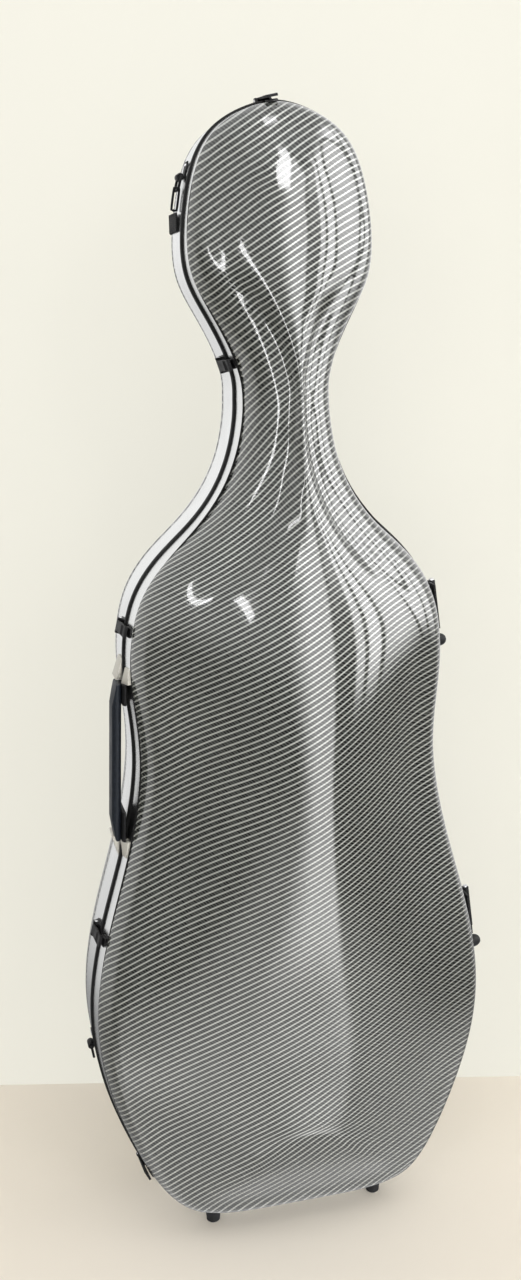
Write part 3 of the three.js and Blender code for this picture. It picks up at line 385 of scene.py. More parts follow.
@dataclass(frozen=True)
class WovenShell(Recipe):
    """Twill cloth under clear lacquer, with lines that climb to the viewer's right."""

    pitch: float = 0.00565
    step: float = 0.0034
    climb: float = 0.645
    sway: float = 0.0025
    sway_scale: float = 5.0
    line: tuple = (0.5, 0.51, 0.485)
    band: tuple = (0.075, 0.081, 0.076)
    gap: tuple = (0.0004, 0.0005, 0.0004)
    tone_broad: float = 9.0
    tone_share: float = 0.12
    dust: float = 0.06
    dust_color: tuple = (0.45, 0.43, 0.4)
    rough: float = 0.5
    line_smooth: float = 0.14
    line_metal: float = 0.35
    relief: float = 0.00012
    relief_share: float = 0.5
    print_through: float = 0.1
    lacquer_rough: float = 0.04
    lacquer_ior: float = 1.6

    def cloth_place(self, graph: Graph) -> bpy.types.NodeSocket:
        """Finds where a point lies along and across the cloth's lines.

        Args:
            graph: The material's node tree.

        Returns:
            The coordinates, with a slow sway.
        """
        cloth = graph.add("UVMap", uv_map="cloth").outputs[0]
        noise = {"Vector": cloth, "Scale": self.sway_scale, "Detail": 1.0}
        drift = graph.add("TexNoise", noise).outputs["Color"]
        sway = graph.add("VectorMath", {0: drift, "Scale": self.sway}, operation="SCALE").outputs[0]
        place = graph.add("VectorMath", {0: cloth, 1: sway}, operation="ADD").outputs[0]
        turn = (0.0, 0.0, -math.atan(self.climb))
        return graph.add("Mapping", {"Vector": place, "Rotation": turn}).outputs[0]

    def paint(self, finish: Finish, effects: Effects) -> None:
        """Paints the cloth and lays the lacquer over it.

        Args:
            finish: The material.
            effects: The shared node groups.
        """
        graph = finish.graph
        colors = {"Line": self.line, "Band": self.band, "Gap": self.gap}
        sizes = {"Vector": self.cloth_place(graph), "Pitch": self.pitch, "Step": self.step}
        twill = graph.use(effects.twill, sizes | colors).outputs
        place = graph.coordinates()
        dust = graph.use(effects.dust, {"Vector": place, "Amount": self.dust}).outputs[0]
        tone = graph.use(effects.grain, {"Vector": place, "Broad": self.tone_broad}).outputs["Tone"]
        toned = {0: self.tone_share, 6: twill["Color"], 7: tone}
        shade = graph.add("Mix", toned, data_type="RGBA", blend_type="MULTIPLY").outputs[2]
        finish.set({
            "Base Color": graph.mix(dust, shade, self.dust_color),
            "Roughness": graph.minus(self.rough, graph.times(twill["Mask"], self.line_smooth)),
            "Metallic": graph.times(twill["Mask"], self.line_metal),
            "Specular IOR Level": 0.0,
            "Coat Weight": 1.0,
            "Coat Roughness": self.lacquer_rough,
            "Coat IOR": self.lacquer_ior,
        })
        finish.bump(twill["Height"], self.relief, self.relief_share)
        finish.bump(twill["Height"], self.relief, self.print_through, "Coat Normal")


@dataclass(frozen=True)
class DrawnMetal(Recipe):
    """Metal with fine lines along its length, as an extrusion or a turned pin has."""

    color: tuple
    rough: float
    spread: float
    stretch: tuple = (6.0, 900.0, 6.0)
    wear: float = 0.35
    wear_rough: float = 0.15
    tone_broad: float = 14.0
    tone_share: float = 0.6
    dull: float = 0.86
    relief: float = 0.00002
    relief_share: float = 0.1

    def paint(self, finish: Finish, effects: Effects) -> None:
        """Paints the metal and its lines.

        Args:
            finish: The material.
            effects: The shared node groups.
        """
        graph = finish.graph
        place = graph.coordinates()
        lines = graph.noise(graph.coordinates(self.stretch), 1.0, 3.0)
        wear = graph.use(effects.wear, {"Vector": place, "Amount": self.wear}).outputs[0]
        tone = graph.use(effects.grain, {"Vector": place, "Broad": self.tone_broad}).outputs["Tone"]
        dull = tuple(self.dull * part for part in self.color)
        rough = graph.plus(self.rough, graph.times(lines, self.spread))
        finish.set({
            "Base Color": graph.mix(graph.times(tone, self.tone_share), dull, self.color),
            "Roughness": graph.plus(rough, graph.times(wear, self.wear_rough)),
            "Metallic": 1.0,
        })
        finish.bump(lines, self.relief, self.relief_share)


@dataclass(frozen=True)
class CoatedMetal(Recipe):
    """Satin black coating that has rubbed to bright metal along its edges."""

    color: tuple = (0.0045, 0.0045, 0.005)
    bare: tuple = (0.22, 0.22, 0.225)
    rough: float = 0.4
    tone_rough: float = 0.12
    shine: float = 0.12
    wear: float = 0.3
    wear_scale: float = 420.0
    fine: float = 2600.0
    broad: float = 90.0
    dust: float = 0.1
    dust_scale: float = 160.0
    dust_color: tuple = (0.3, 0.29, 0.27)
    relief: float = 0.00006
    relief_share: float = 0.3

    def paint(self, finish: Finish, effects: Effects) -> None:
        """Paints the coating, its rubbed edges and its dust.

        Args:
            finish: The material.
            effects: The shared node groups.
        """
        graph = finish.graph
        place = graph.coordinates()
        rubbed = {"Vector": place, "Scale": self.wear_scale, "Amount": self.wear}
        wear = graph.use(effects.wear, rubbed).outputs[0]
        grain = graph.use(effects.grain, {"Vector": place, "Fine": self.fine, "Broad": self.broad}).outputs
        film = {"Vector": place, "Scale": self.dust_scale, "Amount": self.dust}
        dust = graph.use(effects.dust, film).outputs[0]
        finish.set({
            "Base Color": graph.mix(dust, graph.mix(wear, self.color, self.bare), self.dust_color),
            "Roughness": graph.plus(self.rough, graph.times(grain["Tone"], self.tone_rough)),
            "Specular IOR Level": self.shine,
        })
        finish.bump(grain["Height"], self.relief, self.relief_share)


@dataclass(frozen=True)
class Moulding(Recipe):
    """Rubber or plastic with a fine grain and a little dust."""

    color: tuple
    rough: float
    relief: float
    fine: float = 1800.0
    dust: float = 0.16
    broad: float = 60.0
    tone_rough: float = 0.1
    shine: float = 0.16
    pale: float = 2.6
    wear: float = 0.4
    wear_scale: float = 350.0
    dust_scale: float = 120.0
    dust_color: tuple = (0.32, 0.31, 0.29)
    relief_share: float = 0.5

    def paint(self, finish: Finish, effects: Effects) -> None:
        """Paints the moulding, its scuffed edges and its dust.

        Args:
            finish: The material.
            effects: The shared node groups.
        """
        graph = finish.graph
        place = graph.coordinates()
        grain = graph.use(effects.grain, {"Vector": place, "Fine": self.fine, "Broad": self.broad}).outputs
        scuffed = {"Vector": place, "Scale": self.wear_scale, "Amount": self.wear}
        wear = graph.use(effects.wear, scuffed).outputs[0]
        film = {"Vector": place, "Scale": self.dust_scale, "Amount": self.dust}
        dust = graph.use(effects.dust, film).outputs[0]
        pale = tuple(self.pale * part for part in self.color)
        finish.set({
            "Base Color": graph.mix(dust, graph.mix(wear, self.color, pale), self.dust_color),
            "Roughness": graph.plus(self.rough, graph.times(grain["Tone"], self.tone_rough)),
            "Specular IOR Level": self.shine,
        })
        finish.bump(grain["Height"], self.relief, self.relief_share)


@dataclass(frozen=True)
class Casting(Recipe):
    """Bead-blasted light metal."""

    color: tuple = (0.56, 0.54, 0.48)
    bright: tuple = (0.9, 0.89, 0.86)
    rough: float = 0.5
    metal: float = 0.75
    wear: float = 0.6
    wear_smooth: float = 0.2
    tone_rough: float = 0.08
    fine: float = 1200.0
    broad: float = 70.0
    relief: float = 0.0001
    relief_share: float = 0.4

    def paint(self, finish: Finish, effects: Effects) -> None:
        """Paints the blasted metal and its bright edges.

        Args:
            finish: The material.
            effects: The shared node groups.
        """
        graph = finish.graph
        place = graph.coordinates()
        grain = graph.use(effects.grain, {"Vector": place, "Fine": self.fine, "Broad": self.broad}).outputs
        wear = graph.use(effects.wear, {"Vector": place, "Amount": self.wear}).outputs[0]
        rough = graph.minus(self.rough, graph.times(wear, self.wear_smooth))
        finish.set({
            "Base Color": graph.mix(wear, self.color, self.bright),
            "Roughness": graph.plus(rough, graph.times(grain["Tone"], self.tone_rough)),
            "Metallic": self.metal,
        })
        finish.bump(grain["Height"], self.relief, self.relief_share)


@dataclass(frozen=True)
class Pile(Recipe):
    """Short plush over foam, brushed in patches."""

    color: tuple = (0.026, 0.027, 0.034)
    pale: tuple = (0.05, 0.052, 0.062)
    rough: float = 0.92
    shine: float = 0.2
    sheen: float = 0.5
    sheen_rough: float = 0.4
    sheen_color: tuple = (0.5, 0.52, 0.6)
    fine: float = 900.0
    broad: float = 34.0
    relief: float = 0.0006
    relief_share: float = 0.7

    def paint(self, finish: Finish, effects: Effects) -> None:
        """Paints the plush.

        Args:
            finish: The material.
            effects: The shared node groups.
        """
        graph = finish.graph
        place = graph.coordinates()
        grain = graph.use(effects.grain, {"Vector": place, "Fine": self.fine, "Broad": self.broad}).outputs
        finish.set({
            "Base Color": graph.mix(grain["Tone"], self.color, self.pale),
            "Roughness": self.rough,
            "Specular IOR Level": self.shine,
            "Sheen Weight": self.sheen,
            "Sheen Roughness": self.sheen_rough,
            "Sheen Tint": self.sheen_color,
        })
        finish.bump(grain["Height"], self.relief, self.relief_share)


@dataclass(frozen=True)
class WovenBand(Recipe):
    """Ribbed black webbing."""

    color: tuple = (0.006, 0.006, 0.0065)
    pale: float = 2.4
    pitch: float = 0.00032
    rib_reach: tuple = (-1.2, 1.2)
    rough: float = 0.8
    shine: float = 0.2
    sheen: float = 0.05
    relief: float = 0.0003
    relief_share: float = 0.6

    def paint(self, finish: Finish, effects: Effects) -> None:
        """Paints the ribs of the webbing.

        Args:
            finish: The material.
            effects: The shared node groups.
        """
        graph = finish.graph
        ribs = graph.use(effects.ribs, {"Vector": graph.coordinates(), "Pitch": self.pitch}).outputs[0]
        pale = tuple(self.pale * part for part in self.color)
        finish.set({
            "Base Color": graph.mix(graph.band(ribs, *self.rib_reach), self.color, pale),
            "Roughness": self.rough,
            "Specular IOR Level": self.shine,
            "Sheen Weight": self.sheen,
        })
        finish.bump(ribs, self.relief, self.relief_share)


def build_finishes() -> dict[Slot, bpy.types.Material]:
    """Builds one material for each slot of the record."""
    effects = Effects()
    recipes = {
        Slot.CARBON: WovenShell(),
        Slot.RIM: DrawnMetal(color=(0.88, 0.885, 0.87), rough=0.2, spread=0.08),
        Slot.CAST: Casting(),
        Slot.SEAL: Moulding(color=(0.005, 0.005, 0.005), rough=0.6, relief=0.00005, fine=2400.0, dust=0.04),
        Slot.RUBBER: Moulding(color=(0.007, 0.007, 0.0075), rough=0.5, relief=0.00012, dust=0.1),
        Slot.BLACK_METAL: CoatedMetal(),
        Slot.STEEL: DrawnMetal(color=(0.62, 0.62, 0.63), rough=0.2, spread=0.2, stretch=(700.0, 700.0, 8.0)),
        Slot.GRIP: Moulding(color=(0.008, 0.0105, 0.015), rough=0.42, relief=0.00015, fine=1300.0, dust=0.08),
        Slot.BLACK_PLASTIC: Moulding(color=(0.016, 0.016, 0.017), rough=0.38, relief=0.0001, fine=1500.0),
        Slot.PLUSH: Pile(),
        Slot.WEBBING: WovenBand(),
    }
    return {slot: recipe.build(slot.value, effects) for slot, recipe in recipes.items()}


def merged_copy(node: str) -> BMesh:
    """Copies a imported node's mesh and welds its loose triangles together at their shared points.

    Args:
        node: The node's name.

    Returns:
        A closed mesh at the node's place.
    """
    bm = bmesh.new()
    bm.from_mesh(bpy.data.objects[node].data)
    bmesh.ops.remove_doubles(bm, verts=bm.verts, dist=MERGE)
    for layer in list(bm.loops.layers.uv):
        bm.loops.layers.uv.remove(layer)
    bm.edges.layers.float.new("crease_edge")
    bm.faces.layers.float.new("worn")
    return bm


def to_quads(bm: BMesh) -> None:
    """Pairs the triangles of a mesh into quads."""
    bmesh.ops.join_triangles(bm, faces=bm.faces, angle_face_threshold=1.0, angle_shape_threshold=math.pi)


def sharp_edges(bm: BMesh, angle: float = CORNER_ANGLE) -> list[BMEdge]:
    """Returns the edges where two faces meet at more than an angle."""
    return [edge for edge in bm.edges if len(edge.link_faces) == 2 and edge.calc_face_angle() > angle]


def bevel_corners(bm: BMesh, width: float, segments: int = 2, angle: float = CORNER_ANGLE) -> None:
    """Rounds the sharp edges of a mesh and marks the new faces as worn.

    Args:
        bm: The mesh.
        width: How far the rounding reaches from each edge.
        segments: How many faces it takes.
        angle: The least angle of an edge that is rounded.
    """
    bmesh.ops.dissolve_limit(bm, angle_limit=FLAT_ANGLE, verts=bm.verts, edges=bm.edges)
    worn = bm.faces.layers.float.get("worn") or bm.faces.layers.float.new("worn")
    made = bmesh.ops.bevel(
        bm, geom=sharp_edges(bm, angle), offset=width, offset_type="OFFSET", segments=segments,
        profile=0.5, affect="EDGES", clamp_overlap=True, material=-1,
    )
    for face in made["faces"]:
        face[worn] = 1.0


def limit_place(vert: BMVert, rails: set[BMEdge]) -> Vector:
    """Finds where repeated subdivision takes a point of a cage.

    Args:
        vert: The point.
        rails: The edges that stay sharp.

    Returns:
        The point's last place.
    """
    rail = [edge.other_vert(vert).co for edge in vert.link_edges if edge.is_boundary or edge in rails]
    if len(rail) == 2:
        return (rail[0] + 4 * vert.co + rail[1]) / 6
    if len(rail) > 2:
        return vert.co.copy()
    count = len(vert.link_edges)
    near = sum((edge.other_vert(vert).co for edge in vert.link_edges), Vector())
    far = Vector()
    for face in vert.link_faces:
        loop = next(loop for loop in face.loops if loop.vert == vert)
        centre = face.calc_center_median()
        far += 4 * centre - vert.co - loop.link_loop_next.vert.co - loop.link_loop_prev.vert.co
    return (count * count * vert.co + 4 * near + far) / (count * (count + 5))


def hold_shape(bm: BMesh, rails: set[BMEdge], share: float, rounds: int = 4) -> None:
    """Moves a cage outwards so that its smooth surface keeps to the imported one.

    Args:
        bm: The cage.
        rails: The edges that stay sharp.
        share: 1 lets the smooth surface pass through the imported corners, 0 leaves the cage alone.
        rounds: How often the correction is made.
    """
    goal = {vert: vert.co.copy() for vert in bm.verts}
    aim = {vert: limit_place(vert, rails).lerp(goal[vert], share) for vert in bm.verts}
    for _ in range(rounds):
        shift = {vert: aim[vert] - limit_place(vert, rails) for vert in bm.verts}
        for vert, move in shift.items():
            vert.co += move


def crease(bm: BMesh, edges: Iterable[BMEdge]) -> None:
    """Keeps edges sharp under a subdivision surface.

    Args:
        bm: The mesh, made by merged_copy.
        edges: The edges.
    """
    layer = bm.edges.layers.float["crease_edge"]
    for edge in edges:
        edge[layer] = 1.0


def make_object(name: str, bm: BMesh) -> bpy.types.Object:
    """Turns a mesh into an object of the scene.

    Args:
        name: The piece's name.
        bm: The mesh, which is freed.

    Returns:
        The new object, at the origin.
    """
    mesh = bpy.data.meshes.new(name)
    bm.to_mesh(mesh)
    bm.free()
    piece = bpy.data.objects.new(name, mesh)
    bpy.context.scene.collection.objects.link(piece)
    return piece


def settle(piece: bpy.types.Object) -> None:
    """Makes the result of a piece's modifiers its mesh, with smooth faces and sharp corners.

    Args:
        piece: The piece, whose modifiers are used up.
    """
    if piece.modifiers:
        graph = bpy.context.evaluated_depsgraph_get()
        mesh = bpy.data.meshes.new_from_object(piece.evaluated_get(graph))
        piece.modifiers.clear()
        piece.data = mesh
    piece.data.name = piece.name
    piece.data.shade_smooth()
    piece.data.set_sharp_from_angle(angle=SHARP_ANGLE)


def add_subdivision(piece: bpy.types.Object, levels: int) -> None:
    """Adds a subdivision surface with the same level in view and render.

    Args:
        piece: The piece.
        levels: How often its faces are divided.
    """
    surface = piece.modifiers.new("smooth", "SUBSURF")
    surface.levels = levels
    surface.render_levels = levels


def add_rounding(piece: bpy.types.Object, width: float, clamp: bool = True) -> None:
    """Adds a bevel along a piece's sharp edges.

    Args:
        piece: The piece.
        width: How far the rounding reaches from each edge.
        clamp: Whether a short face near an edge holds the rounding back.
    """
    rounding = piece.modifiers.new("edges", "BEVEL")
    rounding.width = width
    rounding.segments = 2
    rounding.limit_method = "ANGLE"
    rounding.angle_limit = EDGE_ANGLE
    rounding.use_clamp_overlap = clamp


def surface_of(piece: bpy.types.Object) -> BVHTree:
    """Returns a tree that finds where a ray meets a finished piece."""
    return BVHTree.FromObject(piece, bpy.context.evaluated_depsgraph_get())


@dataclass
class Workshop:
    """What every sub-assembly needs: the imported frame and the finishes."""

    frame: dict
    finishes: dict[Slot, bpy.types.Material]
    made: list[str] = field(default_factory=list)

    def joint(self, name: str) -> dict:
        """Returns a joint of the record by name."""
        return next(joint for joint in self.frame["joints"] if joint["name"] == name)

    def body_of(self, node: str) -> str:
        """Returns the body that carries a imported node."""
        return self.frame["nodes"][node]["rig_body"]

    def dress(self, piece: bpy.types.Object, slot: Slot, body: str, *nodes: str) -> bpy.types.Object:
        """Gives a piece its finish, its body and the nodes that it stands for.

        Args:
            piece: The finished object.
            slot: Its finish.
            body: The body that it rides on.
            nodes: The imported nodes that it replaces.

        Returns:
            The same object.
        """
        piece.data.materials.clear()
        piece.data.materials.append(self.finishes[slot])
        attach(piece, body)
        if nodes:
            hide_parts(*nodes)
        self.made.append(piece.name)
        faces = len(piece.data.polygons)
        LOG.info("%s rides on %s, finish %s, %d faces", piece.name, body, slot.value, faces)
        return piece

    def finish(self, name: str, bm: BMesh, slot: Slot, body: str, *nodes: str) -> bpy.types.Object:
        """Makes a piece of a mesh that needs no modifiers, and dresses it.

        Args:
            name: The piece's name.
            bm: The mesh, which is freed.
            slot: Its finish.
            body: The body that it rides on.
            nodes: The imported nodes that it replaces.

        Returns:
            The new piece.
        """
        piece = make_object(name, bm)
        settle(piece)
        return self.dress(piece, slot, body, *nodes)

    def rounded(
        self, node: str, name: str, slot: Slot, width: float, segments: int = 2
    ) -> bpy.types.Object:
        """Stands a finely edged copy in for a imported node.

        Args:
            node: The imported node.
            name: The new piece's name.
            slot: Its finish.
            width: How far its edges are rounded.
            segments: How many faces the rounding takes.

        Returns:
            The new piece.
        """
        bm = merged_copy(node)
        bevel_corners(bm, width, segments)
        return self.finish(name, bm, slot, self.body_of(node), node)


def facing(axis: Vector) -> Matrix:
    """Returns a turn that takes Z to an axis."""
    return axis.to_track_quat("Z", "Y").to_matrix().to_4x4()


def frame_along(axis: Sequence[float], place: Sequence[float]) -> Matrix:
    """Sets up a frame for fittings on a joint whose axis lies in the seam plane.

    Args:
        axis: The joint's axis.
        place: A point on it.

    Returns:
        A frame at the place, with Z along the axis and Y away from the viewer.
    """
    along = Vector(axis).normalized()
    deep = Vector((0, 1, 0))
    out = deep.cross(along)
    turn = Matrix((out, deep, along)).transposed()
    return Matrix.Translation(Vector(place)) @ turn.to_4x4()


def flat_seat(bm: BMesh) -> Matrix:
    """Finds what a piece is fixed by.

    Args:
        bm: The piece's mesh, whose flat faces are joined.

    Returns:
        A frame on its largest flat face, with Z pointing into the mesh.
    """
    bmesh.ops.dissolve_limit(bm, angle_limit=FLAT_ANGLE, verts=bm.verts, edges=bm.edges)
    face = max(bm.faces, key=lambda each: each.calc_area())
    return Matrix.Translation(face.calc_center_median()) @ facing(-face.normal)


def spun(profile: Sequence[tuple[float, float]], steps: int = 32) -> BMesh:
    """Turns a profile of radius and height once round Z.

    Args:
        profile: The points from the axis, round the outside, back to the axis.
        steps: How many faces go round.

    Returns:
        A closed mesh with its faces outwards.
    """
    bm = bmesh.new()
    verts = [bm.verts.new((radius, 0, height)) for radius, height in profile]
    edges = [bm.edges.new(pair) for pair in zip(verts, verts[1:])]
    bmesh.ops.spin(
        bm, geom=[*verts, *edges], cent=(0, 0, 0), axis=(0, 0, 1), angle=2 * math.pi,
        steps=steps, use_merge=True, use_normal_flip=False,
    )
    bmesh.ops.remove_doubles(bm, verts=bm.verts, dist=1e-6)
    bmesh.ops.recalc_face_normals(bm, faces=bm.faces)
    return bm


def join(target: BMesh, source: BMesh, matrix: Matrix) -> None:
    """Adds a moved copy of one mesh to another.

    Args:
        target: The mesh that grows.
        source: The mesh that is copied, which is kept.
        matrix: Where the copy goes.
    """
    mesh = bpy.data.meshes.new("part")
    source.to_mesh(mesh)
    mesh.transform(matrix)
    target.from_mesh(mesh)
    bpy.data.meshes.remove(mesh)


def rivet(radius: float, height: float, steps: int = 12) -> BMesh:
    """Makes a domed rivet head that stands on z = 0.

    Args:
        radius: Its radius.
        height: How high its dome stands.
        steps: How many faces go round.

    Returns:
        A closed mesh.
    """
    dome_shares = ((1, 0), (1, 0.35), (0.92, 0.7), (0.62, 0.94))
    dome = [(across * radius, up * height) for across, up in dome_shares]
    return spun([(0, 0), *dome, (0, height)], steps)


def rivet_row(places: Iterable[Matrix], radius: float, height: float) -> BMesh:
    """Sets rivet heads at several places in one mesh.

    Args:
        places: The frame that each head stands on.
        radius: A head's radius.
        height: How high its dome stands.

    Returns:
        The mesh of all the heads.
    """
    head = rivet(radius, height)
    row = bmesh.new()
    for place in places:
        join(row, head, place)
    head.free()
    return row


def tube_round(points: Sequence[Vector], radius: float, sides: int = 8, closed: bool = True) -> BMesh:
    """Runs a tube along a line of points.

    Args:
        points: The centre line.
        radius: The tube's radius.
        sides: How many faces go round it.
        closed: Whether the line returns to its start.

    Returns:
        A closed mesh.
    """
    bm = bmesh.new()
    count = len(points)
    circles = []
    for index, point in enumerate(points):
        after = points[(index + 1) % count] if closed or index + 1 < count else point
        before = points[index - 1] if closed or index else point
        place = Matrix.Translation(point) @ facing(after - before)
        made = bmesh.ops.create_circle(bm, segments=sides, radius=radius, matrix=place)
        circles.append({edge for vert in made["verts"] for edge in vert.link_edges})
    pairs = list(zip(circles, circles[1:])) + ([(circles[-1], circles[0])] if closed else [])
    for first, second in pairs:
        bmesh.ops.bridge_loops(bm, edges=[*first, *second])
    if not closed:
        bmesh.ops.holes_fill(bm, edges=bm.edges, sides=sides)
    bmesh.ops.recalc_face_normals(bm, faces=bm.faces)
    return bm


@dataclass(frozen=True)
class Viewpoint:
    """Where the photograph was taken from, and how it was framed."""

    place: tuple = (-0.390997, -1.413934, 1.10406)
    turn: float = -0.249
    dip: float = 0.237
    roll: float = -0.017
    focal_px: float = 1291.84
    frame_px: float = 1280.0
    sensor_mm: float = 36.0

    def build(self) -> None:
        """Makes the camera and hands it to the scene."""
        ahead = Vector((
            -math.sin(self.turn) * math.cos(self.dip),
            math.cos(self.turn) * math.cos(self.dip),
            -math.sin(self.dip),
        ))
        level = Vector((math.cos(self.turn), math.sin(self.turn), 0))
        upright = level.cross(ahead)
        right = level * math.cos(self.roll) + upright * math.sin(self.roll)
        up = upright * math.cos(self.roll) - level * math.sin(self.roll)
        data = bpy.data.cameras.new("camera")
        data.sensor_width = self.sensor_mm
        data.lens = self.sensor_mm * self.focal_px / self.frame_px
        camera = bpy.data.objects.new("camera", data)
        turn = Matrix((right, up, -ahead)).transposed().to_4x4()
        camera.matrix_world = Matrix.Translation(self.place) @ turn
        bpy.context.scene.collection.objects.link(camera)
        bpy.context.scene.camera = camera


@dataclass(frozen=True)
class Glow:
    """A part of the room that shines in the lacquer.

    Its reach is in degrees, round the case to the viewer's right and up from level. How soft its
    edges are is in degrees too, and its lean is how far it moves to the side for each degree up.
    """

    left: float
    right: float
    low: float
    high: float
    light: float
    soft_left: float = 5.0
    soft_right: float = 5.0
    soft_up: float = 8.0
    lean: float = 0.0

    def edge(self, graph: Graph, value: Value, place: float, soft: float) -> bpy.types.NodeSocket:
        """Returns a soft step of a width about a place."""
        return graph.band(value, place - soft / 2, place + soft / 2)

    def share(self, graph: Graph, round_case: Value, upwards: Value) -> bpy.types.NodeSocket:
        """Finds how much of the glow a direction catches.

        Args:
            graph: The room's node tree.
            round_case: The direction's angle round the case.
            upwards: Its angle up from level.

        Returns:
            1 well within the glow and 0 outside it.
        """
        lean = graph.times(graph.minus(upwards, (self.low + self.high) / 2), self.lean)
        side = graph.minus(round_case, lean)
        rise = self.edge(graph, side, self.left, self.soft_left)
        fall = self.edge(graph, side, self.right, self.soft_right)
        lower = self.edge(graph, upwards, self.low, self.soft_up)
        upper = self.edge(graph, upwards, self.high, self.soft_up)
        across = graph.times(rise, graph.minus(1.0, fall))
        return graph.times(across, graph.times(lower, graph.minus(1.0, upper)))


def area_lamp(name: str, size: tuple, power: float) -> bpy.types.Object:
    """Makes a rectangular lamp at the origin.

    Args:
        name: The lamp's name.
        size: Its width and height.
        power: Its power in watts.

    Returns:
        The lamp.
    """
    data = bpy.data.lights.new(name, "AREA")
    data.shape = "RECTANGLE"
    data.size, data.size_y = size
    data.energy = power
    lamp = bpy.data.objects.new(name, data)
    bpy.context.scene.collection.objects.link(lamp)
    return lamp


@dataclass(frozen=True)
class Lamp:
    """A soft lamp that faces a point and doesn't show in the lacquer."""

    name: str
    place: tuple
    aim: tuple
    size: tuple
    power: float
    tint: tuple = (1.0, 0.99, 0.97)

    def build(self) -> None:
        """Hangs the lamp."""
        lamp = area_lamp(self.name, self.size, self.power)
        lamp.data.color = self.tint
        lamp.matrix_world = Matrix.Translation(self.place) @ facing(Vector(self.place) - Vector(self.aim))
        lamp.visible_glossy = False


